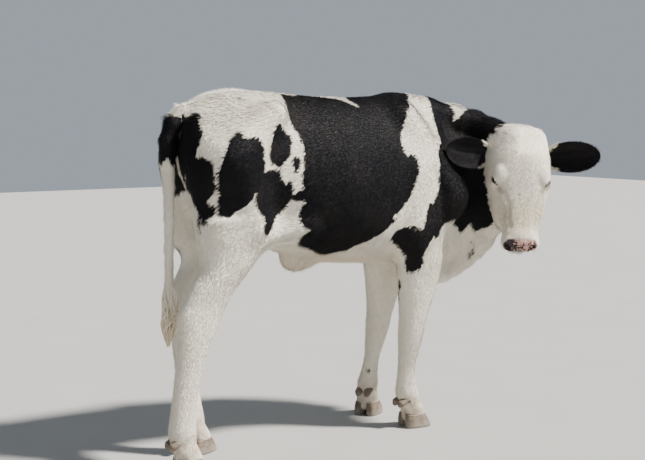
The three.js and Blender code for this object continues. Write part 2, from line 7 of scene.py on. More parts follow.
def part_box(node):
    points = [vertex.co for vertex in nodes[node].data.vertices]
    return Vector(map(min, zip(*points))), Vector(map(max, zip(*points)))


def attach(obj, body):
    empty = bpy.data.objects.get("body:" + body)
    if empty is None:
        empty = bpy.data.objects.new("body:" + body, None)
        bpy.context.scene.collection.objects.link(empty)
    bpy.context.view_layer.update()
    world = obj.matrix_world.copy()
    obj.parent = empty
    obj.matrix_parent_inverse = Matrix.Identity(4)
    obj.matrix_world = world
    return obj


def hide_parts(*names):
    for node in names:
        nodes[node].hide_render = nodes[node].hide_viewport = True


# A young black-and-white dairy cow: one skin in place of the flesh nodes, a coat of short tufts,
# and eyes, ears, claws and tail hair as pieces of their own.
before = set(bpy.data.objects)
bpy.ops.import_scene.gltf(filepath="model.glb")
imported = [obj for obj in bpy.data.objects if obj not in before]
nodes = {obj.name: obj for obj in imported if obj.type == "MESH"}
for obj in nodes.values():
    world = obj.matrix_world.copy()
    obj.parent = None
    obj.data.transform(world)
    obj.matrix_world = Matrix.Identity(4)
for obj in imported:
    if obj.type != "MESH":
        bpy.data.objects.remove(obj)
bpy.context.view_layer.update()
scene = bpy.context.scene

# Camera, floor and light.

camera = {"location": (-2.3263, -3.1837, 1.0829), "yaw": 34.0, "pitch": 5.52, "focal": 1200.0,
          "sensor": 36, "imageWidth": 645}  # the focal length is in pixels of that width


def addCamera():
    yaw, pitch = math.radians(camera["yaw"]), math.radians(camera["pitch"])
    ahead = Vector((math.sin(yaw) * math.cos(pitch), math.cos(yaw) * math.cos(pitch), -math.sin(pitch)))
    lens = bpy.data.cameras.new("camera")
    lens.sensor_width = camera["sensor"]
    lens.lens = camera["focal"] / camera["imageWidth"] * lens.sensor_width
    lens.clip_end = 60
    eye = bpy.data.objects.new("camera", lens)
    eye.location = camera["location"]
    eye.rotation_euler = ahead.to_track_quat("-Z", "Y").to_euler()
    scene.collection.objects.link(eye)
    scene.camera = eye


studio = {
    "keyPower": 12.5, "keyAngle": 6.0, "keyFrom": (0.80, -0.80, 1.30), "keyColour": (1.0, 0.965, 0.91),
    "sky": 0.50, "skyColour": (0.72, 0.80, 0.90, 1),
    "floor": 26.0, "floorColours": ((0.33, 0.325, 0.31), (0.37, 0.365, 0.35)),
}


def addStudio():
    sun = bpy.data.lights.new("key", "SUN")
    sun.energy = studio["keyPower"]
    sun.angle = math.radians(studio["keyAngle"])
    sun.color = studio["keyColour"]
    lamp = bpy.data.objects.new("key", sun)
    lamp.rotation_euler = Vector(studio["keyFrom"]).to_track_quat("Z", "Y").to_euler()
    scene.collection.objects.link(lamp)
    world = bpy.data.worlds.new("studio")
    scene.world = world
    world.use_nodes = True
    sky = world.node_tree.nodes["Background"]
    sky.inputs["Color"].default_value = studio["skyColour"]
    sky.inputs["Strength"].default_value = studio["sky"]
    half = studio["floor"] / 2
    corners = np.array([(-half, -half, 0), (half, -half, 0), (half, half, 0), (-half, half, 0)], float)
    floor = addPiece("floor", corners, np.array([[0, 1, 2, 3]]), floorMaterial())


# Making meshes from arrays.

def addPiece(name, points, faces, material, smooth=False):
    mesh = bpy.data.meshes.new(name)
    mesh.vertices.add(len(points))
    mesh.vertices.foreach_set("co", np.asarray(points, np.float32).ravel())
    mesh.loops.add(faces.size)
    mesh.loops.foreach_set("vertex_index", np.asarray(faces, np.int32).ravel())
    mesh.polygons.add(len(faces))
    mesh.polygons.foreach_set("loop_start", np.arange(0, faces.size, faces.shape[1], dtype=np.int32))
    mesh.update(calc_edges=True)
    mesh.materials.append(material)
    mesh.polygons.foreach_set("use_smooth", np.full(len(faces), smooth))
    piece = bpy.data.objects.new(name, mesh)
    scene.collection.objects.link(piece)
    return piece


def addNumbers(mesh, **values):
    for name, numbers in values.items():
        level = mesh.attributes.new(name, "FLOAT", "POINT")
        level.data.foreach_set("value", np.asarray(numbers, np.float32))


def unit(v):
    return v / np.maximum(np.linalg.norm(v, axis=-1, keepdims=True), 1e-9)


def smoothStep(low, high, x):
    t = np.clip((x - low) / (high - low), 0, 1)
    return t * t * (3 - 2 * t)


def mix(a, b, t):
    return a + (b - a) * t


# Shader maths.

class Wire:
    # One socket of a shader tree; the usual operators add the Math node that they stand for.
    def __init__(self, tree, socket):
        self.tree, self.socket = tree, socket

    def math(self, operation, *values):
        sockets = dict(enumerate(values))
        return addNode(self.tree, "ShaderNodeMath", {"operation": operation}, sockets=sockets)

    def __add__(self, other):
        return self.math("ADD", self, other)

    def __radd__(self, other):
        return self.math("ADD", other, self)

    def __sub__(self, other):
        return self.math("SUBTRACT", self, other)

    def __rsub__(self, other):
        return self.math("SUBTRACT", other, self)

    def __mul__(self, other):
        return self.math("MULTIPLY", self, other)

    def __truediv__(self, other):
        return self.math("DIVIDE", self, other)

    def __pow__(self, other):
        return self.math("POWER", self, other)

    def step(self, low, high):
        # 0 below low and 1 above high, with a soft rise between
        settings = {"interpolation_type": "SMOOTHSTEP"}
        sockets = dict(enumerate((self, low, high, 0.0, 1.0)))
        return addNode(self.tree, "ShaderNodeMapRange", settings, sockets=sockets)


def plug(tree, socket, value):
    if isinstance(value, Wire):
        tree.links.new(value.socket, socket)
    elif hasattr(socket.default_value, "__len__") and len(value) == 3 and len(socket.default_value) == 4:
        socket.default_value = (*value, 1)
    else:
        socket.default_value = value


def addNode(tree, kind, settings=None, outlet=0, sockets=None, **inputs):
    # settings come first, then the sockets given by number and those given by name
    node = tree.nodes.new(kind)
    for name, value in (settings or {}).items():
        setattr(node, name, value)
    for number, value in (sockets or {}).items():
        plug(tree, node.inputs[number], value)
    for name, value in inputs.items():
        plug(tree, node.inputs[name.replace("_", " ")], value)
    return Wire(tree, node.outputs[outlet])


def blendColours(tree, factor, first, second):
    sockets = {0: factor, 6: first, 7: second}
    return addNode(tree, "ShaderNodeMix", {"data_type": "RGBA"}, outlet=2, sockets=sockets)


def newMaterial(name, **fixed):
    material = bpy.data.materials.new(name)
    material.use_nodes = True
    tree = material.node_tree
    shader = tree.nodes["Principled BSDF"]
    for socket, value in fixed.items():
        plug(tree, shader.inputs[socket.replace("_", " ")], value)
    place = addNode(tree, "ShaderNodeTexCoord", outlet=3)
    return material, tree, shader, place


def noise(tree, place, scale, detail=2.0, roughness=0.5):
    return addNode(tree, "ShaderNodeTexNoise", Vector=place, Scale=scale, Detail=detail, Roughness=roughness)


def reading(tree, name):
    return addNode(tree, "ShaderNodeAttribute", {"attribute_name": name}, outlet=2)


def addBump(tree, shader, height, strength, distance):
    bump = addNode(tree, "ShaderNodeBump", Height=height, Strength=strength, Distance=distance)
    plug(tree, shader.inputs["Normal"], bump)


def floorMaterial():
    material, tree, shader, place = newMaterial("paleFloor", Roughness=0.8)
    speck = noise(tree, place, 3.0, 3.0)
    plug(tree, shader.inputs["Base Color"], blendColours(tree, speck, *studio["floorColours"]))
    return material


hair = {
    "white": (0.91, 0.85, 0.735), "cream": (0.74, 0.64, 0.48), "stain": (0.39, 0.26, 0.16),
    "black": (0.0065, 0.0065, 0.0085), "brownBlack": (0.0125, 0.011, 0.011),
    "bareSkin": (0.62, 0.37, 0.31), "darkSkin": (0.035, 0.026, 0.028),
}


def hideMaterial(name, bumpDepth, skin):
    # Attributes: mark is the distance inside a dark patch in millimetres, warm a cream tint, the brown
    # tint a stain, both tints also painted shade under the belly, bare the naked skin of the nose and lids,
    # tone a lock's own shade, with painted shade darker towards each tuft's root.
    material, tree, shader, place = newMaterial(
        name, Specular_IOR_Level=0.12 if skin else 0.08, Sheen_Weight=0.03, Sheen_Roughness=0.4)
    tone = reading(tree, "tone")
    fine = noise(tree, place, 260.0, 3.0, 0.65)
    broad = noise(tree, place, 9.0, 3.0)
    ragged = (fine - 0.5) * (7.0 if skin else 0.0)
    dark = (reading(tree, "mark") + ragged).step(-1.2, 1.2)
    pale = blendColours(tree, reading(tree, "warm") + (broad - 0.5) * 0.25, hair["white"], hair["cream"])
    pale = blendColours(tree, reading(tree, "stain"), pale, hair["stain"])
    coal = blendColours(tree, broad.step(0.35, 0.7), hair["black"], hair["brownBlack"])
    colour = blendColours(tree, dark, pale, coal)
    shade = 0.84 + tone * 0.3 + (fine - 0.5) * (0.35 if skin else 0.12)
    colour = addNode(tree, "ShaderNodeVectorMath", {"operation": "SCALE"}, Vector=colour, Scale=shade)
    if skin:
        mottle = noise(tree, place, 150.0, 2.0, 0.6)
        spots = (mottle + reading(tree, "mottle") * 0.35).step(0.62, 0.68)
        naked = blendColours(tree, spots, hair["bareSkin"], hair["darkSkin"])
        colour = blendColours(tree, reading(tree, "bare"), colour, naked)
        rough = 0.66 - reading(tree, "bare") * 0.22
        streak = addNode(tree, "ShaderNodeMapping", Vector=place, Scale=(0.22, 1.0, 0.55))
        strands = noise(tree, streak, 420.0, 3.0, 0.7)
        addBump(tree, shader, strands * (1 - reading(tree, "bare") * 0.6), 0.55, bumpDepth)
    else:
        rough = 0.62 + (1 - dark) * 0.08
    plug(tree, shader.inputs["Base Color"], colour)
    plug(tree, shader.inputs["Roughness"], rough)
    return material


# The flesh: one smooth field, below zero inside, drawn in millimetres.

drawn = {"height": 1200.0, "withers": 1.15}
perMm = drawn["withers"] / drawn["height"]


def curve(rows):
    table = np.array(rows, float)
    place, value = table[:, 0], table[:, 1:]
    number, last = np.arange(len(rows)), len(rows) - 1
    before, after = np.maximum(number - 1, 0), np.minimum(number + 1, last)
    slope = (value[after] - value[before]) / (place[after] - place[before])[:, None]

    def at(x):
        x = np.clip(np.atleast_1d(x), place[0], place[-1])
        i = np.clip(np.searchsorted(place, x, side="right") - 1, 0, len(place) - 2)
        span = (place[i + 1] - place[i])[:, None]
        t = (x - place[i])[:, None] / span
        level = mix(value[i], value[i + 1], t * t * (3 - 2 * t))
        return (level + slope[i] * span * (1 - t) ** 2 * t - slope[i + 1] * span * t * t * (1 - t)).T

    return at


def join(a, b, soft):
    return np.minimum(a, b) - np.maximum(soft - np.abs(a - b), 0) ** 2 / (4 * soft)


def hollow(a, b, soft):
    return -join(-a, b, soft)


def muscle(p, a, b, radiusA, radiusB):
    a, along = np.array(a, float), np.array(b, float) - np.array(a, float)
    t = np.clip((p - a) @ along / (along @ along), 0, 1)
    return np.linalg.norm(p - a - t[:, None] * along, axis=1) - mix(radiusA, radiusB, t)


reachOut = 90.0  # a form has no effect further than this from itself


def within(p, low, high):
    return np.flatnonzero(((p > low) & (p < high)).all(1))


def grow(p, d, balls, blend, soft=1.0):
    # Joins a row of balls, each x, y, z and radius, to the field values d of the points p.
    balls = np.array(balls, float)
    middles, radii = balls[:, :3], balls[:, 3:]
    near = within(p, (middles - radii).min(0) - reachOut, (middles + radii).max(0) + reachOut)
    if len(near) == 0:
        return d
    q, row = p[near], np.full(len(near), 1e4)
    for a, b in zip(balls, balls[1:]):
        row = join(row, muscle(q, a[:3], b[:3], a[3], b[3]), soft)
    d[near] = join(d[near], row, blend)
    return d


def fold(p, d, line, deep, width):
    # Presses a crease of one depth and width into the field, or raises a ridge if deep is negative.
    ends = np.array(line, float)
    near = within(p, ends.min(0) - 3.2 * width, ends.max(0) + 3.2 * width)
    if len(near):
        q, away = p[near], np.full(len(near), 1e4)
        for a, b in zip(line, line[1:]):
            away = np.minimum(away, muscle(q, a, b, 0, 0))
        d[near] += deep * np.exp(-(away / width) ** 2)
    return d


def lump(p, centre, radii):
    q, radii = p - np.array(centre, float), np.array(radii, float)
    near = np.linalg.norm(q / radii, axis=1)
    return near * (near - 1) / np.maximum(np.linalg.norm(q / radii ** 2, axis=1), 1e-6)


def oval(qx, qy, rx, ry, power=2.0):
    n = ((np.abs(qx) / rx) ** power + (np.abs(qy) / ry) ** power) ** (1 / power)
    return np.hypot(qx, qy) * (1 - 1 / np.maximum(n, 1e-6))


# Along X: top line, belly line, half width and the level where it is widest.
trunkLine = curve([
    [-450, 1118, 930, 92, 1020], [-395, 1166, 838, 134, 1000], [-310, 1197, 750, 172, 985],
    [-185, 1208, 700, 190, 960], [-70, 1201, 668, 207, 905], [70, 1192, 628, 222, 880],
    [210, 1190, 612, 218, 870], [340, 1196, 604, 190, 880], [430, 1198, 598, 166, 880],
    [520, 1176, 596, 142, 880], [600, 1116, 620, 116, 870],
])
trunkEnds = (-454, 628)


def trunk(p):
    top, belly, half, level = trunkLine(p[:, 0])
    above = p[:, 2] > level
    tall = np.where(above, top - level, level - belly)
    section = oval(p[:, 1], p[:, 2] - level, half, tall, np.where(above, 1.9, 2.25))
    ends = np.maximum(trunkEnds[0] - p[:, 0], p[:, 0] - trunkEnds[1])
    return -join(-section, -ends, 110)


# Muscles of each side, as balls, and the softness of their join.
sideMuscles = [
    ([(385, 88, 1110, 62), (565, 112, 835, 72)], 1), ([(565, 112, 835, 72), (410, 118, 690, 66)], 60),
    ([(395, 112, 930, 76), (400, 112, 740, 66)], 60), ([(-178, 142, 1130, 46), (-325, 100, 985, 96)], 80),
    ([(-325, 100, 985, 104), (-255, 128, 775, 76)], 70), ([(-408, 76, 1075, 48), (-362, 106, 740, 66)], 70),
    ([(-60, 160, 760, 30), (-215, 128, 740, 38)], 50),
]


def muscles(p, side):
    q = p * (1, side, 1)
    d = np.full(len(p), 1e4)
    for balls, soft in sideMuscles:
        d = grow(q, d, balls, soft)
    return d


# Up each leg: height, how far the bone line lies ahead, half depth and half width.
hindLine = curve([
    [20, 30, 44, 43], [50, 24, 44, 43], [75, 13, 43, 41], [98, 3, 42, 38], [130, -3, 45, 39],
    [175, -5, 43, 34], [240, -6, 41, 31], [330, 0, 46, 34], [395, 8, 56, 38], [445, 17, 67, 40],
    [500, 24, 80, 41], [530, 36, 82, 43], [580, 60, 84, 50], [640, 99, 92, 60], [700, 118, 114, 67],
    [760, 130, 136, 71], [800, 128, 138, 72],
])
foreLine = curve([
    [20, 30, 43, 42], [50, 27, 43, 42], [70, 20, 42, 41], [95, 8, 40, 37], [130, -6, 42, 38],
    [170, -11, 37, 31], [225, -13, 34, 28], [290, -9, 40, 36], [340, -6, 47, 42], [385, -3, 51, 43],
    [440, 3, 62, 45], [500, 8, 76, 50], [560, 10, 88, 54], [620, 6, 97, 60], [680, -4, 104, 62],
    [740, -6, 106, 60],
])
legs = {
    "hind_right": {"line": hindLine, "toes": -6, "top": 800,
                   "way": curve([[60, -512, -126], [470, -463, -120], [1000, -400, -112]])},
    "hind_left": {"line": hindLine, "toes": 22, "top": 800,
                  "way": curve([[60, -374, 54], [470, -392, 84], [1000, -400, 112]])},
    "fore_right": {"line": foreLine, "toes": -6, "top": 740,
                   "way": curve([[60, 432, -68], [385, 434, -97], [900, 462, -112]])},
    "fore_left": {"line": foreLine, "toes": 28, "top": 740,
                  "way": curve([[60, 405, 152], [385, 452, 124], [900, 462, 116]])},
}
legShape = {"foot": 20, "turnedBelow": (180, 420)}


def legMiddle(leg, z):
    x, y = leg["way"](z)
    ahead, halfDepth, halfWidth = leg["line"](z)
    turn = np.radians(leg["toes"]) * (1 - smoothStep(*legShape["turnedBelow"], z))
    cos, sin = np.cos(turn), np.sin(turn)
    return x + ahead * cos, y + ahead * sin, cos, sin, halfDepth, halfWidth


def legField(p, leg):
    d = np.full(len(p), 1e4)
    x, y = legMiddle(leg, np.linspace(legShape["foot"], leg["top"], 40))[:2]
    out = reachOut * 1.5
    low = (x.min() - out, y.min() - out, -reachOut)
    high = (x.max() + out, y.max() + out, leg["top"] + reachOut)
    near = within(p, low, high)
    if len(near):
        d[near] = legSection(p[near], leg)
    return d


def legSection(p, leg):
    x, y, cos, sin, halfDepth, halfWidth = legMiddle(leg, p[:, 2])
    dx, dy = p[:, 0] - x, p[:, 1] - y
    section = oval(dx * cos + dy * sin, dy * cos - dx * sin, halfDepth, halfWidth, 2.2)
    return -join(-section, -np.maximum(legShape["foot"] - p[:, 2], p[:, 2] - leg["top"]), 12)


# Rows of balls along the neck and the tail, each x, y, z and radius, and the softness of their join.
neckRows = [
    ([(400, 0, 1128, 60), (560, 0, 1134, 54), (680, -12, 1112, 50), (756, -44, 1094, 47),
      (790, -112, 1062, 48), (796, -190, 1036, 50)], 30, 1),
    ([(430, 0, 960, 130), (600, -4, 950, 112), (720, -38, 945, 96), (800, -110, 952, 84),
      (815, -185, 960, 74)], 30, 70),
    ([(545, 0, 770, 112), (655, -10, 785, 96), (740, -52, 810, 82), (806, -122, 852, 66)], 30, 60),
    ([(580, 0, 670, 96), (670, -14, 690, 74), (722, -52, 725, 58), (764, -108, 780, 54)], 30, 50),
    ([(575, 0, 544, 48), (640, -2, 550, 42), (690, -16, 570, 38), (722, -42, 598, 36),
      (742, -76, 630, 35), (756, -110, 668, 35), (776, -136, 722, 36), (808, -154, 782, 38),
      (838, -164, 832, 42)], 20, 45),
]
tailRow = [
    (-392, 0, 1134, 28), (-430, 0, 1130, 29), (-468, -1, 1098, 29), (-487, -3, 1046, 28),
    (-489, -6, 980, 26), (-486, -9, 900, 21), (-489, -12, 800, 18), (-491, -14, 700, 17),
    (-492, -15, 590, 17), (-489, -16, 545, 13),
]


def chain(p, balls, soft):
    return grow(p, np.full(len(p), 1e4), balls, 1, soft)


def tailField(p):
    return chain(p, tailRow, 8)


def neck(p):
    d = np.full(len(p), 1e4)
    for balls, soft, blend in neckRows:
        d = grow(p, d, balls, blend, soft)
    return d


# The head's own frame: forward from poll to nose, left, and up out of the forehead.

poll = np.array([802.0, -250.0, 1082.0])
headAngles = {"yaw": -123.0, "tilt": -2.2, "pitch": 64.5}
headTurn = np.array(
    Matrix.Rotation(math.radians(headAngles["yaw"]), 3, "Z")
    @ Matrix.Rotation(math.radians(headAngles["tilt"]), 3, "X")
    @ Matrix.Rotation(math.radians(headAngles["pitch"]), 3, "Y"))


def bend(ahead):
    # the face bends a little to its right towards the nose
    return 10 * (np.maximum(ahead - 200, 0) / 247) ** 2


def toHead(p):
    q = (p - poll) @ headTurn
    q[..., 1] += bend(q[..., 0])
    return q


def fromHead(q):
    q = np.array(q, float)
    q[..., 1] -= bend(q[..., 0])
    return poll + q @ headTurn.T


eyeSpot = {"centre": np.array([197.0, 85.0, -34.0]), "radius": 19.0}
eyeBoxes = [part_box("eye_right"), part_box("eye_left")]
eyesInFrame = np.array([(np.array(low) + np.array(high)) / 2 for low, high in eyeBoxes])
eyesDrawn = np.array([fromHead(eyeSpot["centre"] * (1, side, 1)) for side in (-1, 1)])
shift = (eyesInFrame - eyesDrawn * perMm).mean(0)


def toWorld(p):
    return np.asarray(p, float) * perMm + shift


# From poll to nose: face line, jaw line, half width at the brow and at the jaw.
headLine = curve([
    [-20, -44, -120, 69, 48], [20, -17, -165, 101, 64], [80, 0, -196, 112, 78], [140, 3, -207, 115, 88],
    [190, -1, -200, 114, 94], [240, -7, -184, 100, 94], [290, -11, -165, 84, 86], [350, -13, -140, 69, 67],
    [400, -17, -118, 62, 53], [436, -34, -110, 55, 46],
])
headEnds = (-28, 447)
headLumps = [  # centre, radii, softness, and whether it is on both sides
    ((14, 11, -40), (38, 78, 31), 34, False), ((176, 78, -20), (30, 20, 18), 22, True),
    ((134, 60, -118), (74, 34, 64), 26, True), ((270, 62, -114), (70, 30, 44), 24, True),
    ((412, 0, -54), (38, 61, 38), 22, False),
    ((422, 40, -48), (24, 24, 24), 14, True), ((402, 0, -104), (34, 38, 24), 16, False),
]


def oneSide(q):
    # both sides of the head drawn onto its left
    return q * (1, 0, 1) + np.abs(q) * (0, 1, 0)


def head(p):
    # below zero inside the head; far from it the distance to its middle serves
    d = np.linalg.norm(p - fromHead((210, 0, -90)), axis=1) - 200
    near = np.flatnonzero(d < 2 * reachOut)
    if len(near):
        d[near] = headShape(p[near])
    return d


def headShape(p):
    q = toHead(p)
    folded = oneSide(q)
    face, jaw, brow, cheek = headLine(q[:, 0])
    level = mix(jaw, face, 0.62)
    high = np.clip((q[:, 2] - jaw) / (face - jaw), 0, 1)
    half = mix(cheek, brow, smoothStep(0.2, 0.65, high))
    d = oval(q[:, 1], q[:, 2] - level, half, np.where(q[:, 2] > level, face - level, level - jaw), 2.5)
    d = -join(-d, -np.maximum(headEnds[0] - q[:, 0], q[:, 0] - headEnds[1]), 36)
    for centre, radii, soft, both in headLumps:
        d = join(d, lump(folded if both else q, centre, radii), soft)
    return d


def flesh(p):
    d = trunk(p)
    for side in (-1, 1):
        d = join(d, muscles(p, side), 55)
    d = join(d, neck(p), 60)
    for leg in legs.values():
        d = join(d, legField(p, leg), 30)
    d = join(d, lump(p, (8, 0, 640), (74, 32, 46)), 40)
    return join(join(d, head(p), 34), tailField(p), 14)


# The skin: the flesh less the coat's depth, with lids, nostrils, mouth and folds.

coatDepth = {"body": 4.6, "head": 2.4, "leg": 3.2}


def headness(p):
    return smoothStep(40, -20, head(p)) * smoothStep(-40, 20, toHead(p)[:, 0])


def ridge(distance, width):
    return np.exp(-(distance / width) ** 2)


lids = {"long": 17.5, "upper": 7.2, "lower": 5.8, "shell": 2.3, "under": 0.9}
lidOut = unit(np.array([0.20, 0.74, 0.64]))
lidAlong = np.array([0.78, -0.42, 0.22])
lidAlong = unit(lidAlong - lidOut * (lidAlong @ lidOut))
lidUp = np.cross(lidAlong, lidOut)

# Folds of the head on both sides, in the head's frame: line, depth (a ridge if below zero), width.
# Each line is drawn onto the surface first, except the mouth's.
headCreases = [
    ([(212, 90, -24), (228, 78, -22), (244, 70, -20)], 1.8, 3.6),
    ([(218, 86, -34), (240, 76, -34), (262, 68, -34)], 1.4, 4.0),
    ([(240, 66, -18), (286, 50, -12), (332, 48, -14), (378, 40, -20)], 3.0, 8.0),
    ([(262, 72, -44), (320, 60, -50), (372, 56, -60)], -2.0, 8.0),
    ([(168, 86, -4), (188, 88, 0), (208, 78, -4)], 1.3, 3.0),
    ([(296, 56, -14), (304, 64, -34), (308, 68, -54)], 3.0, 3.8),
    ([(318, 54, -14), (328, 62, -36), (334, 66, -58)], 3.2, 4.0),
    ([(340, 52, -16), (350, 59, -36), (356, 63, -58)], 3.2, 4.0),
    ([(362, 48, -18), (374, 56, -38), (380, 60, -60)], 2.6, 4.0),
    ([(330, 60, -84), (360, 56, -88), (372, 54, -92)], 1.4, 4.0),
    ([(60, 106, -70), (100, 114, -56), (150, 114, -70), (210, 100, -84)], -2.6, 13.0),
]
mouth = [
    ([(449, 0, -93), (446, 24, -94), (430, 43, -95), (400, 55, -96), (366, 57, -91)], 5.2, 3.2),
    ([(449, 0, -56), (451, 0, -74), (449, 0, -92)], 1.6, 2.6),
]
nostrils = [((445, 38, -52), (20, 9.0, 14.5), 5.0), ((438, 47, -40), (15, 6.5, 9), 4.0)]

# Folds of the body, drawn in the model's own frame.
bodyFolds = [
    ([(622, -92, 662), (638, -66, 612), (636, -50, 565)], 9.0, 15.0),
    ([(-98, -205, 905), (-142, -194, 840), (-190, -190, 780), (-236, -190, 720)], 7.0, 15.0),
    ([(-98, 205, 905), (-142, 194, 840), (-190, 190, 780), (-236, 190, 720)], 7.0, 15.0),
    ([(244, -170, 690), (320, -150, 640), (352, -110, 600)], 7.0, 14.0),
    ([(244, 170, 690), (320, 150, 640), (352, 130, 600)], 7.0, 14.0),
    ([(470, -186, 930), (512, -176, 850), (500, -180, 760)], 4.5, 22.0),
    ([(470, 186, 930), (512, 176, 850), (500, 180, 760)], 4.5, 22.0),
    ([(700, -150, 960), (704, -160, 880), (690, -150, 800)], 5.0, 13.0),
    ([(742, -170, 970), (746, -182, 900), (730, -176, 830)], 4.5, 11.0),
]


def skinField(p):
    depth = mix(coatDepth["body"], coatDepth["leg"], smoothStep(660, 480, p[:, 2]))
    headPart = headness(p)
    crown = ridge(np.linalg.norm((toHead(p) - (0, 0, -14)) / (1, 1.7, 1), axis=1), 42)
    d = flesh(p) + mix(depth, coatDepth["head"] + 4.5 * crown, headPart)
    for line, deep, width in bodyFolds:
        d = fold(p, d, line, deep, width)
    near = np.flatnonzero(headPart > 0.01)
    if len(near):
        d[near] = headDetail(p[near], d[near])
    return d


def headDetail(p, d):
    q = toHead(p)
    m = oneSide(q)
    for line, deep, width in headFolds:
        d = fold(m, d, line, deep, width)
    e = m - eyeSpot["centre"]
    a, b, c = e @ lidAlong, e @ lidUp, e @ lidOut
    fromBall = np.linalg.norm(e, axis=1) - eyeSpot["radius"]
    d = join(d, fromBall - lids["shell"], 14)
    arch = 1 - (a / lids["long"]) ** 2
    crease = ridge(b - lids["upper"] * arch - 6.5, 2.0) * 1.8
    crease = crease + ridge(b + lids["lower"] * arch + 6.0, 2.0) * 1.2
    d = d + crease * ridge(a, 22.0) * (c > 0)
    opening = np.maximum(b - lids["upper"] * arch, -b - lids["lower"] * arch)
    opening = np.maximum(np.maximum(opening, -lids["under"] - fromBall), -c)
    d = hollow(d, opening, 1.2)
    around = np.full(len(p), 1e4)
    for centre, radii, soft in nostrils:
        hole = lump(m, centre, radii)
        around = np.minimum(around, hole)
        d = hollow(d, hole, soft)
    return d - 2.4 * ridge(around - 5.0, 3.2) * smoothStep(380, 430, q[:, 0])


# From field to mesh.

net = {"cell": 12.0, "low": (-556, -440, 8), "high": (940, 270, 1250), "coarse": 4}


def fleshNet(field):
    cell, coarse = net["cell"], net["coarse"]
    low = np.array(net["low"], float)
    blocks = np.ceil((np.array(net["high"]) - low) / (cell * coarse)).astype(int) + 1
    axes = [low[k] + cell * coarse * np.arange(blocks[k]) for k in range(3)]
    rough = field(np.stack(np.meshgrid(*axes, indexing="ij"), -1).reshape(-1, 3)).reshape(blocks)
    value = rough
    for axis in range(3):
        value = np.repeat(value, coarse, axis)
    where = np.argwhere(np.abs(value) < 2.4 * cell * coarse)
    # a block's value stands half a block off its middle, so the shell that is tested is a wide one
    value[tuple(where.T)] = field(low + where * cell)
    inside = value < 0
    corner = np.array([(i, j, k) for i in (0, 1) for j in (0, 1) for k in (0, 1)])
    count = np.array(value.shape) - 1
    view = [tuple(slice(c[k], c[k] + count[k]) for k in range(3)) for c in corner]
    total = sum(inside[v].astype(int) for v in view)
    cells = np.argwhere((total > 0) & (total < 8))
    sums, hits = np.zeros((len(cells), 3)), np.zeros(len(cells))
    for a in range(8):
        for b in range(a + 1, 8):
            if np.abs(corner[a] - corner[b]).sum() != 1:
                continue
            va, vb = (value[tuple((cells + corner[n]).T)] for n in (a, b))
            cut = (va < 0) != (vb < 0)
            t = np.where(cut, va / np.where(cut, va - vb, 1), 0)[:, None]
            sums += np.where(cut[:, None], mix(corner[a], corner[b], t), 0)
            hits += cut
    points = low + (cells + sums / hits[:, None]) * cell
    index = np.full(value.shape, -1)
    index[tuple(cells.T)] = np.arange(len(cells))
    faces = []
    for axis in range(3):
        u, v = np.eye(3, dtype=int)[[(axis + 1) % 3, (axis + 2) % 3]]
        here = np.argwhere(np.take(inside, range(value.shape[axis] - 1), axis)
                           != np.take(inside, range(1, value.shape[axis]), axis))
        ring = np.stack([index[tuple((here + offset).T)] for offset in (-u - v, -v, 0 * u, -u)], 1)
        flip = ~inside[tuple(here.T)]
        ring[flip] = ring[flip][:, ::-1]
        faces.append(ring)
    return points, np.concatenate(faces)


probe = np.array([(1, 1, 1), (1, -1, -1), (-1, 1, -1), (-1, -1, 1)], float)  # four samples around a point


def settle(p, field, rounds=3, limit=4.0, width=0.7):
    # Draws points onto the field's surface, and gives the outward normals there.
    for _ in range(rounds):
        level = np.stack([field(p + corner * width) for corner in probe], 1)
        slope = level @ probe / (4 * width)
        steep = np.linalg.norm(slope, axis=1, keepdims=True)
        normal = slope / np.maximum(steep, 1e-6)
        p = p - np.clip(level.mean(1, keepdims=True) / np.maximum(steep, 0.5), -limit, limit) * normal
    return p, normal


def halves(ring, points):
    # two triangles across each four-cornered face, along its shorter diagonal
    a, b, c, d = ring.T
    long = np.linalg.norm(points[a] - points[c], axis=1) > np.linalg.norm(points[b] - points[d], axis=1)
    first = np.where(long[:, None], np.stack([a, b, d], 1), np.stack([a, b, c], 1))
    second = np.where(long[:, None], np.stack([b, c, d], 1), np.stack([a, c, d], 1))
    return np.concatenate([first, second])


def refine(points, faces, wanted):
    # Splits each wanted triangle in four and its neighbours to match, and settles the new points.
    chosen = wanted(points[faces].mean(1))
    sides = np.sort(np.stack([faces, np.roll(faces, -1, 1)], -1).reshape(-1, 2), 1)
    edges, which = np.unique(sides, axis=0, return_inverse=True)
    which = which.reshape(-1, 3)
    split = np.zeros(len(edges), bool)
    split[which[chosen].ravel()] = True
    middle = np.full(len(edges), -1)
    middle[split] = len(points) + np.arange(split.sum())
    fresh, _ = settle(points[edges[split]].mean(1), skinField)
    points = np.concatenate([points, fresh])
    cuts = split[which].sum(1)
    made = [faces[cuts == 0]]
    for turn in range(3):
        face, mid = np.roll(faces, -turn, 1), middle[np.roll(which, -turn, 1)]
        a, b, c = face.T
        ab, bc, ca = mid.T
        one = (cuts == 1) & (ab >= 0)
        made += [np.stack(tri, 1)[one] for tri in ((a, ab, c), (ab, b, c))]
        two = (cuts == 2) & (ca < 0)
        made += [np.stack(tri, 1)[two] for tri in ((ab, b, bc), (a, ab, bc), (a, bc, c))]
    a, b, c = faces.T
    ab, bc, ca = middle[which].T
    full = cuts == 3
    made += [np.stack(tri, 1)[full] for tri in ((a, ab, ca), (ab, b, bc), (ca, bc, c), (ab, bc, ca))]
    return points, np.concatenate(made)


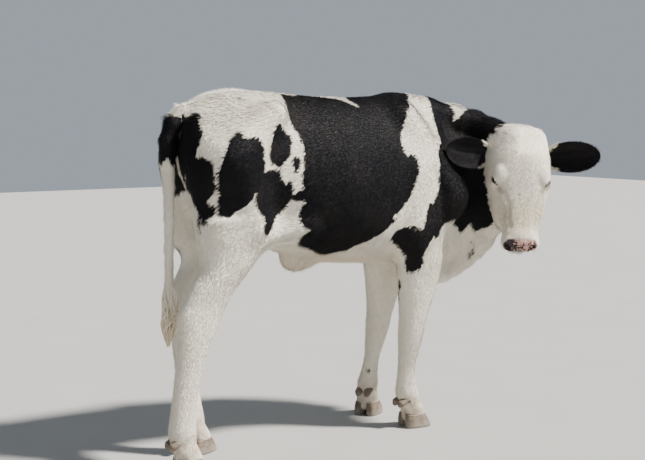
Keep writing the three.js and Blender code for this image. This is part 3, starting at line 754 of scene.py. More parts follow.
def relax(points, faces, chosen, rounds):
    # Evens out the chosen points over the surface.
    pairs = np.concatenate([faces[:, [0, 1]], faces[:, [1, 2]], faces[:, [2, 0]]])
    pairs = np.concatenate([pairs, pairs[:, ::-1]])
    count = np.bincount(pairs[:, 0], minlength=len(points))[:, None]
    for _ in range(rounds):
        sums = [np.bincount(pairs[:, 0], points[pairs[:, 1], k], len(points)) for k in range(3)]
        total = np.stack(sums, 1)
        moved = mix(points[chosen], (total / count)[chosen], 0.5)
        points[chosen] = settle(moved, skinField, 1)[0]
    return points


def aroundFeatures(p, reach=30):
    q = toHead(p)
    m = oneSide(q)
    eyes = np.linalg.norm(m - eyeSpot["centre"] - lidOut * 12, axis=1) < reach
    muzzle = (q[:, 0] > 442 - 1.6 * reach) & (q[:, 0] < 480) & (q[:, 2] < 20)
    return (eyes | muzzle) & (head(p) < 30)


def onSurface(line):
    # the line drawn onto the head
    path = np.array(line, float)
    points = settle(fromHead(path[:, :3]), head, 12, limit=6.0)[0]
    return toHead(points)


headFolds = [(onSurface(line), deep, width) for line, deep, width in headCreases] + mouth


def onHeadSkin(p):
    return (head(p) < 12) & (toHead(p)[:, 0] > -30)


def onThinSkin(p):
    return onHeadSkin(p) | (p[:, 2] < 430) | (tailField(p) < 12)


def makeSkin():
    points, faces = fleshNet(skinField)
    points, _ = settle(points, skinField)
    faces = halves(faces, points)
    print("skin net:", len(faces), "triangles")
    for wanted in (onThinSkin, onHeadSkin, aroundFeatures):
        points, faces = refine(points, faces, wanted)
        points = relax(points, faces, np.flatnonzero(wanted(points)), 2)
    points, normals = settle(points, skinField, 2, width=0.5)
    print("skin:", len(faces), "triangles")
    return points, faces, normals


# Markings: how far a point lies inside a dark patch, in millimetres.

# Outlines on the body along X and around the barrel, where 0 is the middle of the right side,
# 345 the top line and 691 the middle of the left side.
darkBody = [
    [(-422, 300), (-405, 264), (-431, 204), (-449, 157), (-424, 118), (-399, 35), (-404, -20),
     (-420, -50), (-394, -74), (-398, -98), (-432, -150), (-450, -240), (-540, -290), (-560, 0),
     (-540, 318), (-456, 325)],
    [(-327, 173), (-302, 148), (-261, 148), (-238, 97), (-245, 28), (-277, -22), (-341, -92), (-386, -98),
     (-384, -60), (-383, -40), (-391, 0), (-391, 89), (-366, 142)],
    [(-171, 179), (-125, 170), (-133, 121), (-162, 81), (-184, 72), (-218, 90), (-215, 132), (-197, 167)],
    [(-118, 106), (-103, 90), (-105, 62), (-118, 40), (-131, 58), (-131, 88)],
    [(-228, 62), (-177, 61), (-169, 23), (-158, 8), (-134, 25), (-129, -30), (-145, -85), (-191, -123),
     (-226, -153), (-248, -142), (-238, -104), (-265, -72), (-265, -5)],
    [(-137, -52), (-113, -12), (-68, -6), (-40, -30), (-60, -60), (-90, -51)],
    [(-70, 328), (-115, 225), (-87, 167), (-87, 97), (-96, 6), (-66, -40), (-95, -82), (-93, -128),
     (-60, -139), (-89, -170), (-49, -238), (-6, -236), (46, -258), (130, -206), (199, -180), (302, -131),
     (271, -126), (350, -64), (384, 27), (387, 108), (343, 109), (342, 185), (420, 280), (468, 333),
     (500, 372), (430, 440), (372, 520), (392, 590), (330, 690), (262, 720), (240, 790), (150, 800),
     (90, 850), (20, 800), (-20, 700), (-75, 650), (-60, 590), (-120, 520), (-92, 450), (-60, 390)],
    [(452, -91), (474, -129), (438, -158), (419, -137)],
    [(288, -196), (353, -151), (398, -163), (469, -169), (434, -212), (424, -239), (379, -254),
     (362, -233)],
    [(-440, 372), (-398, 420), (-372, 500), (-402, 580), (-380, 660), (-400, 760), (-450, 800),
     (-540, 820), (-560, 600), (-540, 390)],
    [(-320, 470), (-262, 480), (-222, 560), (-240, 640), (-300, 700), (-345, 640), (-330, 540)],
    [(-190, 690), (-140, 720), (-150, 790), (-205, 820), (-240, 770), (-225, 710)],
    [(-180, 500), (-150, 490), (-140, 540), (-165, 570), (-192, 540)],
]
paleBody = [
    [(62, 364), (98, 338), (140, 321), (160, 310), (200, 270), (197, 318), (200, 352), (160, 374)],
    [(-70, 344), (-34, 324), (8, 337), (-8, 358), (-48, 362)],
]
# Outlines on the neck along X and Z.
darkNeck = [
    (560, 1200), (541, 1041), (493, 992), (493, 874), (456, 809), (414, 753), (410, 722), (453, 722),
    (496, 675), (508, 736), (557, 757), (628, 724), (660, 696), (686, 737), (708, 703), (750, 733),
    (800, 780), (920, 800), (960, 1000), (900, 1220), (720, 1230),
]
paleNeck = [(640, 1200), (656, 1150), (654, 1106), (678, 1125), (704, 1136), (744, 1146), (756, 1200)]
# Small spots: middle, radius, and whether they are brown rather than black.
spots = [
    ((376, -100, 530), 13, 0), ((378, -86, 488), 11, 0), ((703, -104, 661), 9, 0), ((713, -104, 630), 10, 0),
    ((710, -91, 611), 8, 0), ((412, -101, 99), 10, 0.5), ((390, 110, 181), 8, 0.4),
]


def rounded(corners, steps=5):
    # a closed curve through the corners
    c = np.array(corners, float)
    t = np.arange(steps)[:, None, None] / steps
    a, b, d, e = np.roll(c, 1, 0), c, np.roll(c, -1, 0), np.roll(c, -2, 0)
    curved = 2 * b + (d - a) * t + (2 * a - 5 * b + 4 * d - e) * t ** 2 + (3 * b - a - 3 * d + e) * t ** 3
    return np.swapaxes(curved / 2, 0, 1).reshape(-1, 2)


def depthInside(q, corners, reach=30.0):
    outline = rounded(corners)
    found = np.full(len(q), -reach)
    near = within(q, outline.min(0) - reach, outline.max(0) + reach)
    x, y = q[near].T
    away, crossings = np.full(len(near), 1e9), np.zeros(len(near), int)
    for (ax, ay), (bx, by) in zip(outline, np.roll(outline, -1, 0)):
        t = np.clip(((x - ax) * (bx - ax) + (y - ay) * (by - ay)) / ((bx - ax) ** 2 + (by - ay) ** 2), 0, 1)
        away = np.minimum(away, (x - ax - t * (bx - ax)) ** 2 + (y - ay - t * (by - ay)) ** 2)
        crossings += ((ay > y) != (by > y)) & (x < ax + (y - ay) * (bx - ax) / (by - ay + 1e-12))
    found[near] = np.sqrt(away) * np.where(crossings % 2 == 1, 1, -1)
    return np.maximum(found, -reach)


def ripple(p, wave, seed, stretch=(1, 1, 1)):
    # smooth chance, about -1 to 1, in waves of roughly the given length
    chance, total = np.random.default_rng(seed), 0
    for _ in range(7):
        way = unit(chance.normal(size=3)) * 2 * np.pi / (wave * chance.uniform(0.6, 1.5))
        total = total + np.sin(p @ (way * np.array(stretch)) + chance.uniform(0, 2 * np.pi))
    return total / 3.2


def around(p):
    turned = np.degrees(np.arctan2(p[:, 2] - 900, -p[:, 1]))
    return np.radians(np.where(turned < -100, turned + 360, turned)) * 220


def markAt(p):
    moved = p + np.stack([ripple(p, 90, seed) for seed in (3, 5, 8)], 1) * 5
    moved = moved + np.stack([ripple(p, 30, seed) for seed in (13, 21, 34)], 1) * 2.2
    barrel = np.stack([moved[:, 0], around(moved)], 1)
    onBody = np.full(len(p), -30.0)
    for corners in darkBody:
        onBody = np.maximum(onBody, depthInside(barrel, corners))
    for corners in paleBody:
        onBody = np.minimum(onBody, -depthInside(barrel, corners))
    side = moved[:, [0, 2]]
    onNeck = np.minimum(depthInside(side, darkNeck), -depthInside(side, paleNeck))
    q = toHead(moved)
    behind = -q[:, 0] - 34 + 0.10 * np.abs(q[:, 1])
    onNeck = np.minimum(onNeck, np.maximum(head(p) - 8 + 3 * ripple(p, 24, 9), behind))
    dark = np.where(p[:, 0] < 480, np.maximum(onBody, onNeck), onNeck)
    dark = np.where(p[:, 2] < 690, onBody, dark)
    dark = np.where(p[:, 2] < 560, -30.0, dark)
    dark = np.where(p[:, 0] < -385, np.minimum(dark, moved[:, 2] - 748), dark)
    for middle, radius, brown in spots:
        away = np.linalg.norm((moved - middle) * (1, 1, 0.6), axis=1)
        dark = np.maximum(dark, radius * (1 - brown) - away)
    faceSpot = 4.5 - np.linalg.norm(q - (247, -12, -8), axis=1)
    tail = tailField(p) < 13
    onTail = np.minimum(moved[:, 2] - 985 - ripple(p, 60, 55) * 18, 30)
    onTail = np.minimum(onTail, 1126 - moved[:, 2] + 0.2 * moved[:, 1])
    dark = np.where(tail & (p[:, 0] < -452), onTail, dark)
    return np.clip(np.maximum(dark, faceSpot), -30, 30)


def tintsAt(p):
    # cream warmth, brown stain, both also painted shade under the belly, naked skin and its mottling, each
    # from 0 to 1
    q = toHead(p)
    onHead = np.clip(headness(p) * 1.6, 0, 1)
    warm, stain = hairTints(p, q, oneSide(q), onHead)
    bare, mottle = bareTints(q, oneSide(q), onHead)
    return np.clip(warm, 0, 1), np.clip(stain, 0, 0.85), bare, np.clip(mottle, 0, 1.5)


def hairTints(p, q, m, onHead):
    low = smoothStep(200, 60, p[:, 2])
    warm = 0.10 + 0.12 * ripple(p, 130, 71) + 0.22 * smoothStep(420, 120, p[:, 2])
    warm = warm + onHead * (0.10 + 0.75 * ridge(m[:, 0] - 340, 70) * smoothStep(-70, -20, m[:, 2]))
    stain = low * (0.30 + 0.30 * ripple(p, 26, 73)) * smoothStep(20, 90, 210 - p[:, 2])
    # painted shade: the belly's underside, between the legs, is tinted cream and brown to darken it
    under = smoothStep(705, 640, p[:, 2]) * smoothStep(560, 600, p[:, 2])
    under = under * smoothStep(150, 90, np.abs(p[:, 1]))
    under = under * smoothStep(-200, -140, p[:, 0]) * smoothStep(420, 340, p[:, 0])
    warm, stain = warm + 0.35 * under, stain + 0.26 * under
    for middle, radius, brown in spots:
        stain = np.maximum(stain, brown * 1.3 * ridge(np.linalg.norm(p - middle, axis=1), radius))
    belowEye = (m - (223, 77, -28)) @ np.array([lidAlong, lidUp, lidOut]).T
    stain = stain + onHead * 0.90 * ridge(np.linalg.norm(belowEye / (2.3, 1.0, 1.3), axis=1), 10)
    stain = stain + onHead * 0.20 * ridge(np.linalg.norm((m - (310, 52, -20)) / (2.2, 1, 1), axis=1), 18)
    beyond = (q[:, 0] - 52).clip(0) + (14 - q[:, 0]).clip(0)
    parting = ridge(np.hypot(q[:, 1] - 6 - 2 * np.sin(q[:, 0] / 12), beyond), 3)
    return warm, stain + onHead * 0.30 * parting * (q[:, 2] > -60)


def bareTints(q, m, onHead):
    # the nose pad, the nostrils, the chin's edge and the rims of the eyes
    pad = smoothStep(416, 424, m[:, 0] + 0.12 * (m[:, 2] + 40)) * smoothStep(56, 48, m[:, 1]) * onHead
    pad = pad * smoothStep(-98, -92, m[:, 2]) * smoothStep(-9, -17, m[:, 2] + 0.14 * m[:, 1])
    hole = np.full(len(q), 1e3)
    for centre, radii, _ in nostrils:
        hole = np.minimum(hole, lump(m, centre, radii))
    pad = np.maximum(pad, smoothStep(9, 5, hole) * onHead)
    chin = onHead * 0.8 * ridge(m[:, 2] + 97, 5) * smoothStep(380, 410, m[:, 0])
    fromEye = m - eyeSpot["centre"]
    lidDistance = np.linalg.norm(fromEye, axis=1) - eyeSpot["radius"]
    a, b, c = fromEye @ lidAlong, fromEye @ lidUp, fromEye @ lidOut
    rim = smoothStep(1.45, 1.2, np.hypot(a / lids["long"], b / (0.5 * (lids["upper"] + lids["lower"]))))
    rim = rim * (lidDistance < 6) * (c > 0) * onHead
    bandTop = q[:, 2] + 0.5 * np.minimum(q[:, 1] + 8, 0) - 0.25 * np.maximum(q[:, 1] - 24, 0)
    band = smoothStep(-20, -34, bandTop)
    band = band * (0.56 + 0.38 * smoothStep(-4, -30, q[:, 1]) + 0.35 * smoothStep(-62, -80, q[:, 2]))
    pinkRim = ridge((q[:, 1] - 38) + 0.52 * (q[:, 2] + 61), 9) * (q[:, 1] > 0)
    mottle = band * (1 - 0.9 * pinkRim) + 0.9 * rim
    bare = np.clip(np.maximum(np.maximum(pad, chin), rim), 0, 1)
    return bare, np.maximum(mottle, 1.4 * smoothStep(2, -3, hole))


# The coat: short tufts set on the skin.

coat = {  # tufts to the square metre, and millimetres; a long tuft's own count is where it stands out most
    "body": {"dense": 70000, "length": 15.5, "width": 2.7, "depth": coatDepth["body"]},
    "leg": {"dense": 115000, "length": 10.0, "width": 2.1, "depth": coatDepth["leg"]},
    "head": {"dense": 260000, "length": 8.5, "width": 1.25, "depth": coatDepth["head"]},
    "long": {"dense": 72000, "width": 1.5},
    "seed": 4007, "patch": 0.003, "lowest": 0.7,
}
whorl = np.array([97.0, -7.0, 4.0])


def lieOf(p, normal):
    # which way the hair lies, along the skin
    side = np.sign(p[:, 1])
    way = np.stack([np.full(len(p), -1.0), 0.22 * side * smoothStep(1000, 1200, p[:, 2]),
                    -0.42 - 0.3 * smoothStep(-250, -430, p[:, 0])], 1)
    belly = smoothStep(-0.35, -0.8, normal[:, 2])[:, None]
    way = mix(way, np.stack([np.full(len(p), -1.0), -0.5 * side, np.full(len(p), -0.1)], 1), belly)
    rear = smoothStep(-0.35, -0.8, normal[:, 0]) * smoothStep(-380, -430, p[:, 0])
    way = mix(way, np.array([-0.1, 0.0, -1.0]), rear[:, None])
    flank = ridge(np.linalg.norm((p - (-175, 0, 790)) * (1, 0, 1), axis=1), 90)[:, None]
    way = mix(way, np.array([-0.2, 0.0, 0.6]), 0.45 * flank)
    onNeck = smoothStep(540, 720, p[:, 0] - 0.4 * (p[:, 2] - 900))[:, None]
    way = mix(way, np.array([-0.70, 0.40, -0.62]), onNeck)
    limb = smoothStep(720, 520, p[:, 2])[:, None]
    way = mix(way, np.array([-0.22, 0.0, -1.0]), limb)
    way = mix(way, faceLie(p) @ headTurn.T, headness(p)[:, None])
    way = mix(way, np.array([0.0, 0.0, -1.0]), (tailField(p) < 13)[:, None])
    swirl = np.stack([ripple(p, 70, seed) for seed in (101, 103, 107)], 1)
    way = unit(way) + 0.16 * swirl
    return unit(way - normal * (way * normal).sum(1, keepdims=True))


def faceLie(p):
    # the hair fans out from the whorl, parts over the poll and runs down the face, in the head's frame
    q = toHead(p)
    fan = unit((q - whorl) * (1, 1, 0.15))
    split = np.tanh((q[:, 1] + 7 + 4 * ripple(p, 40, 31)) / 7)
    parted = unit(np.stack([-0.45 - 0.5 * (1 - np.abs(split)), split * 0.9, np.zeros(len(p))], 1))
    face = mix(fan, parted, smoothStep(10, -40, q[:, 0] - whorl[0])[:, None])
    cheek = smoothStep(-25, -70, q[:, 2])[:, None]
    face = mix(face, np.array([-0.30, 0.0, -0.95]), 0.85 * cheek * smoothStep(330, 200, q[:, 0])[:, None])
    face = mix(face, np.stack([np.full(len(p), 0.8), 0.5 * np.tanh(q[:, 1] / 22), np.full(len(p), -0.3)], 1),
               smoothStep(300, 380, q[:, 0])[:, None])
    m = oneSide(q)
    earward = ridge(np.linalg.norm(m - (80, 100, -84), axis=1), 34)[:, None]
    toEar = np.stack([np.full(len(p), 0.16), 0.85 * np.sign(q[:, 1]), np.full(len(p), 0.5)], 1)
    return mix(face, toEar, earward)


def standing(p, normal):
    # 0 where the coat lies flat, 1 where it stands out most
    q = toHead(p)
    rump = smoothStep(0.35, 0.8, normal[:, 2]) * smoothStep(-120, -260, p[:, 0]) * (p[:, 2] > 1040)
    back = 0.30 * smoothStep(0.7, 0.95, normal[:, 2]) * (p[:, 2] > 1040)
    belly = 0.65 * smoothStep(-0.3, -0.85, normal[:, 2]) * ((p[:, 2] < 760) & (p[:, 2] > 560))
    brisket = 0.55 * smoothStep(560, 690, p[:, 0]) * smoothStep(760, 640, p[:, 2])
    thigh = 0.45 * smoothStep(-0.4, -0.85, normal[:, 0]) * smoothStep(500, 700, p[:, 2]) * (p[:, 0] < -350)
    hock = 0.40 * smoothStep(-0.4, -0.9, normal[:, 0]) * smoothStep(640, 460, p[:, 2])
    crown = 0.62 * ridge(np.linalg.norm((q - (2, 0, -10)) / (1, 1.6, 1), axis=1), 44)
    m = oneSide(q)
    earRoot = 0.9 * ridge(np.linalg.norm(m - (80, 100, -84), axis=1), 34)
    crest = 0.45 * smoothStep(0.5, 0.9, normal[:, 2]) * smoothStep(540, 640, p[:, 0]) * (p[:, 2] > 1060)
    jaw = 0.45 * headness(p) * smoothStep(-150, -200, q[:, 2])
    return np.max([rump, back, belly, brisket, thigh, hock, crown, earRoot, crest, jaw], axis=0)


def shortTufts(root, normal, lie, length, width, rise, chance):
    # thin leaves, pointed at both ends: root, two edges and tip, and the way each corner shades
    side = np.cross(normal, lie)
    foot = root - normal * 0.6
    tip = root + lie * length[:, None] + normal * rise[:, None]
    middle = mix(foot, tip, 0.42) - normal * 0.35
    half = side * width[:, None] / 2
    shade = normal + side * chance.normal(0, 0.16, (len(root), 1))
    shade = shade + lie * chance.normal(0.04, 0.12, (len(root), 1))
    shades = np.stack([shade - lie * 0.10, shade - side * 0.22, shade + side * 0.22, shade + lie * 0.16], 1)
    return np.stack([foot, middle - half, middle + half, tip], 1), unit(shades)


def longTufts(root, normal, lie, length, width, lift, droop):
    # blades of two lengths, bent, with three sides
    side = np.cross(normal, lie)
    first = lie * np.cos(lift)[:, None] + normal * np.sin(lift)[:, None]
    second = unit(first + droop)
    middle = root + first * (length * 0.5)[:, None]
    tip = middle + second * (length * 0.5)[:, None]
    rings, shades = [], []
    for centre, scale in ((root - first * 1.5, 0.5), (middle, 0.34)):
        out, up = side * (width * scale)[:, None], np.cross(first, side) * (width * scale)[:, None] * 0.8
        rings += [centre - out, centre + out, centre + up]
        shades += [normal - side * 0.5, normal + side * 0.5, normal + 0 * side]
    return np.stack([*rings, tip], 1), unit(np.stack([*shades, normal + 0 * side], 1))


shortFaces = np.array([(0, 1, 3), (0, 3, 2), (0, 2, 1), (1, 2, 3)])
longFaces = np.array([(0, 2, 1), (0, 1, 4), (0, 4, 3), (1, 2, 5), (1, 5, 4), (2, 0, 3), (2, 3, 5),
                      (3, 4, 6), (4, 5, 6), (5, 3, 6)])


def addTufts(name, parts, material):
    # Each part is tuft corners and their shading, their faces, and per tuft its place on the unwrap
    # and its numbers.
    points, faces, shades, spread, numbers = [], [], [], [], []
    start = 0
    for (corners, shade), pattern, place, values in parts:
        if len(corners) == 0:
            continue
        count, each = corners.shape[:2]
        corners[..., 2] = np.maximum(corners[..., 2], coat["lowest"])
        points.append(toWorld(corners.reshape(-1, 3)))
        shades.append(shade.reshape(-1, 3))
        faces.append((pattern[None] + (start + np.arange(count) * each)[:, None, None]).reshape(-1, 3))
        fan = np.linspace(0, 2 * np.pi, each, endpoint=False)
        ring = np.stack([np.cos(fan), np.sin(fan)], 1) * coat["patch"] / 2
        spread.append((place[:, None] + ring[None]).reshape(-1, 2))
        # painted shade: along runs from -1 at each tuft's root to 1 at its tip, so the tone darkens the root
        # and lightens the tip
        along = np.linspace(-1, 1, each)[None] + np.zeros((count, 1))
        values = {key: np.repeat(level, each) for key, level in values.items()}
        values["tone"] = values["tone"] + along.ravel() * 0.10
        numbers.append(values)
        start += count * each
    faces = np.concatenate(faces)
    piece = addPiece(name, np.concatenate(points), faces, material, smooth=True)
    addNumbers(piece.data, **{key: np.concatenate([row[key] for row in numbers]) for key in numbers[0]})
    unwrapped = piece.data.uv_layers.new(name="OFBake")
    unwrapped.data.foreach_set("uv", np.concatenate(spread)[faces.ravel()].astype(np.float32).ravel())
    piece.data.normals_split_custom_set_from_vertices(np.concatenate(shades).astype(np.float32))
    print(name + ":", len(faces), "triangles")
    return piece


def unwrap(p, kind):
    # places on a flattened piece of skin, from 0 to 1 each way
    if kind == "limb":
        x, y = p[:, 0] - p[:, 0].mean(), p[:, 1] - p[:, 1].mean()
        turned = np.arctan2(y, x)
        flat = np.stack([turned / (2 * np.pi) + 0.5, (p[:, 2] - p[:, 2].min()) / np.ptp(p[:, 2])], 1)
    elif kind == "head":
        q = toHead(p)
        turned = np.arctan2(q[:, 1], q[:, 2] + 85)
        flat = np.stack([turned / (2 * np.pi) + 0.5, (q[:, 0] - q[:, 0].min()) / np.ptp(q[:, 0])], 1)
    else:
        turned = around(p)
        along = (p[:, 0] - p[:, 0].min()) / np.ptp(p[:, 0])
        flat = np.stack([along, (turned - turned.min()) / np.ptp(turned)], 1)
    return 0.01 + 0.98 * flat


def regionOf(p):
    # a number from the list below for each point of the skin
    left = (p[:, 1] > 0).astype(int)
    region = np.where(p[:, 0] > 105, 2, 0) + left
    region = np.where(p[:, 0] < -215, 4 + left, region)
    region = np.where(p[:, 0] > 470, np.where(p[:, 1] > -45, 7, 6), region)
    region = np.where(p[:, 2] < 600, np.where(p[:, 0] > 50, 8, 9), region)
    region = np.where((p[:, 2] < 700) & (p[:, 0] > 540), np.where(p[:, 1] > -45, 7, 6), region)
    onHead = headness(p) > 0.5
    region = np.where(onHead, np.where(toHead(p)[:, 0] > 150, 11, 10), region)
    return np.where((tailField(p) < 8) & (p[:, 0] < -462), 12, region)


regions = [
    "coatFlankRight", "coatFlankLeft", "coatRibsRight", "coatRibsLeft", "coatRumpRight", "coatRumpLeft",
    "coatNeckRight", "coatNeckLeft", "coatForeLegs", "coatHindLegs", "coatHead", "coatFace", "coatTail",
]


def byPlace(name, onHead, limb):
    # one of the coat's measures, blended between body, leg and head
    return mix(mix(coat["body"][name], coat["leg"][name], limb), coat["head"][name], onHead)


def scatter(surface, here, amount, chance):
    # Roots spread over the triangles here, by the amount wanted on each, off the naked skin.
    points, faces, normals, numbers = surface
    which = np.repeat(here, np.floor(amount + chance.random(len(here))).astype(int))
    u, v = chance.random((2, len(which)))
    flip = u + v > 1
    u, v = np.where(flip, 1 - u, u), np.where(flip, 1 - v, v)
    weight = np.stack([1 - u - v, u, v], 1)
    ring = faces[which]
    root = (points[ring] * weight[:, :, None]).sum(1)
    normal = unit((normals[ring] * weight[:, :, None]).sum(1))
    values = {key: (level[ring] * weight).sum(1) for key, level in numbers.items()}
    keep = values.pop("bare") < 0.45
    return root[keep], normal[keep], which[keep], {key: level[keep] for key, level in values.items()}


def addCoat(points, faces, normals, skinNumbers):
    chance = np.random.default_rng(coat["seed"])
    surface = (points, faces, normals, skinNumbers)
    a, b, c = (points[faces[:, k]] for k in range(3))
    middle = (a + b + c) / 3
    area = np.linalg.norm(np.cross(b - a, c - a), axis=1) / 2 * perMm ** 2
    region = regionOf(middle)
    faceNormal = unit(normals[faces].sum(1))
    onHead, limb = headness(middle), smoothStep(640, 520, middle[:, 2])
    dense = byPlace("dense", onHead, limb)
    tall = standing(middle, faceNormal)
    material = hideMaterial("coatHair", 0.001, False)
    for number, name in enumerate(regions):
        here = np.flatnonzero(region == number)
        kind = "limb" if number in (8, 9, 12) else "head" if number in (10, 11) else "body"
        parts = []
        for long in (False, True):
            wanted = area[here] * (coat["long"]["dense"] * tall[here] if long else dense[here])
            root, normal, which, values = scatter(surface, here, wanted, chance)
            count = len(root)
            if count == 0:
                continue
            lie = lieOf(root, normal)
            lie = unit(lie + np.cross(normal, lie) * chance.normal(0, 0.16, count)[:, None])
            values["mark"] = values["mark"] + ripple(root, 9, 61) * 2.2 + chance.normal(0, 1.3, count)
            values["tone"] = 0.5 + 0.16 * ripple(root, 14, 67, (0.5, 1, 0.8)) + chance.normal(0, 0.08, count)
            share, low = onHead[which], limb[which]
            depth = byPlace("depth", share, low)
            width = byPlace("width", share, low)
            foot = smoothStep(140, 70, root[:, 2])
            length = byPlace("length", share, low) * (1 - 0.35 * foot) * chance.uniform(0.75, 1.25, count)
            q = toHead(root)
            nearEye = np.linalg.norm(oneSide(q) - eyeSpot["centre"] - lidOut * 18, axis=1)
            nearEye = share * ridge(nearEye, 26)
            muzzle = share * smoothStep(330, 420, q[:, 0])
            short = 1 - 0.60 * np.maximum(nearEye, muzzle)
            length, width = length * short, width * (1 - 0.3 * np.maximum(nearEye, muzzle))
            if long:
                more = tall[which]
                length = (11 + 13 * more) * chance.uniform(0.7, 1.3, count)
                lift = np.radians(12 + 34 * more) * chance.uniform(0.6, 1.3, count)
                width = coat["long"]["width"] * chance.uniform(0.7, 1.2, count)
                width = width * (1 + 0.6 * smoothStep(0.7, 1.0, more))
                droop = lie * 0.45 + np.array([0, 0, -0.15])
                tufts = longTufts(root, normal, lie, length, width, lift, droop)
            else:
                rise = depth * chance.uniform(0.7, 1.0, count) * (1 + 0.2 * tall[which]) * short
                tufts = shortTufts(root, normal, lie, length, width, rise, chance)
            parts.append((tufts, longFaces if long else shortFaces, unwrap(root, kind), values))
        piece = addTufts(name, parts, material)
        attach(piece, "root")


# Eyes, with lid margins and lashes.

gaze = unit(np.array([0.24, 0.78, 0.58]))
eyeball = {"rows": 40, "around": 56, "pole": 0.02}
lash = {"seed": 11, "count": 70, "upper": 0.72, "sides": 3,
        "thick": np.array([0.34, 0.32, 0.26, 0.18, 0.05])}
lidMargin = {"count": 64, "sides": 8, "radius": 1.25}


def grid(rows, columns):
    # triangles between the rows of a grid of points, each row a closed ring
    i, j = np.meshgrid(np.arange(rows - 1), np.arange(columns), indexing="ij")
    a, b = (i * columns + j).ravel(), (i * columns + (j + 1) % columns).ravel()
    return np.concatenate([np.stack([a, b, b + columns], 1), np.stack([a, b + columns, a + columns], 1)])


def capped(rows, columns):
    # the same with both ends closed by fans to their first corners
    fan = np.arange(1, columns - 1)
    zero = np.zeros_like(fan)
    last = (rows - 1) * columns
    start = np.stack([zero, fan + 1, fan], 1)
    end = np.stack([zero + last, fan + last, fan + 1 + last], 1)
    return np.concatenate([grid(rows, columns), start, end])


def facing(faces, kept):
    # faces as they are, or turned round for a mirrored piece
    return faces if kept else faces[:, ::-1]


def eyeMaterial():
    material, tree, shader, place = newMaterial(
        "eyeball", Roughness=0.22, Coat_Weight=1.0, Coat_Roughness=0.04, Specular_IOR_Level=0.5)
    along, up = reading(tree, "eyeAlong"), reading(tree, "eyeUp")
    away = (along * along + up * up) ** 0.5
    fibres = noise(tree, place, 900.0, 3.0)
    iris = blendColours(tree, away.step(4.0, 12.0), (0.050, 0.026, 0.015), (0.016, 0.008, 0.006))
    iris = blendColours(tree, fibres * 0.5, iris, (0.07, 0.04, 0.025))
    pupil = ((along / 6.6) ** 2.0 + (up / 3.4) ** 2.0).step(0.9, 1.1)
    iris = blendColours(tree, pupil, (0.002, 0.002, 0.003), iris)
    white = blendColours(tree, away.step(13.0, 16.0), (0.10, 0.06, 0.05), (0.52, 0.42, 0.38))
    plug(tree, shader.inputs["Base Color"], blendColours(tree, away.step(12.2, 13.2), iris, white))
    return material


def skinMaterial(name, colour, deep):
    material, tree, shader, place = newMaterial(name, Roughness=0.42)
    speck = noise(tree, place, 320.0, 3.0)
    plug(tree, shader.inputs["Base Color"], blendColours(tree, speck, colour, deep))
    return material


def addEyes():
    rows, columns = eyeball["rows"], eyeball["around"]
    polar = np.linspace(eyeball["pole"], np.pi - eyeball["pole"], rows)[:, None]
    turn = np.linspace(0, 2 * np.pi, columns, endpoint=False)[None]
    across = unit(np.cross(lidUp, gaze))
    above = np.cross(gaze, across)
    a, b = np.sin(polar) * np.cos(turn), np.sin(polar) * np.sin(turn)
    c = np.cos(polar) + np.zeros_like(turn)
    ball = (a[..., None] * across + b[..., None] * above + c[..., None] * gaze).reshape(-1, 3)
    material = eyeMaterial()
    for name, side in (("right", -1), ("left", 1)):
        radius = eyeSpot["radius"]
        places = (eyeSpot["centre"] + ball * radius) * (1, side, 1)
        faces = facing(capped(rows, columns), side < 0)
        eye = addPiece("eye_" + name, toWorld(fromHead(places)), faces, material, True)
        behind = 40 * (ball @ gaze < 0)  # keeps the iris off the back of the ball
        addNumbers(eye.data, eyeAlong=ball @ across * radius + behind, eyeUp=ball @ above * radius)
        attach(eye, "root")
        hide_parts("eye_" + name)


def lidEdge(count, shrink=0.0, height=1.5):
    # the edge of the lids' opening, upper lid first, in the head's frame on the left side
    turn = np.linspace(0, 2 * np.pi, count, endpoint=False)
    a = (lids["long"] - shrink) * np.cos(turn)
    arch = 1 - (np.cos(turn)) ** 2
    b = np.where(turn < np.pi, lids["upper"], -lids["lower"]) * arch
    c = np.sqrt((eyeSpot["radius"] + height) ** 2 - a ** 2 - b ** 2)
    return eyeSpot["centre"] + a[:, None] * lidAlong + b[:, None] * lidUp + c[:, None] * lidOut


def tube(path, radius, sides, closed):
    along = np.roll(path, -1, 0) - np.roll(path, 1, 0) if closed else np.gradient(path, axis=0)
    along = unit(along)
    side = unit(np.cross(along, np.array([0.31, 0.22, 0.93])))
    up = np.cross(side, along)
    turn = np.linspace(0, 2 * np.pi, sides, endpoint=False)
    ring = np.cos(turn)[None, :, None] * side[:, None] + np.sin(turn)[None, :, None] * up[:, None]
    return (path[:, None] + ring * np.reshape(radius, (-1, 1, 1))).reshape(-1, 3)


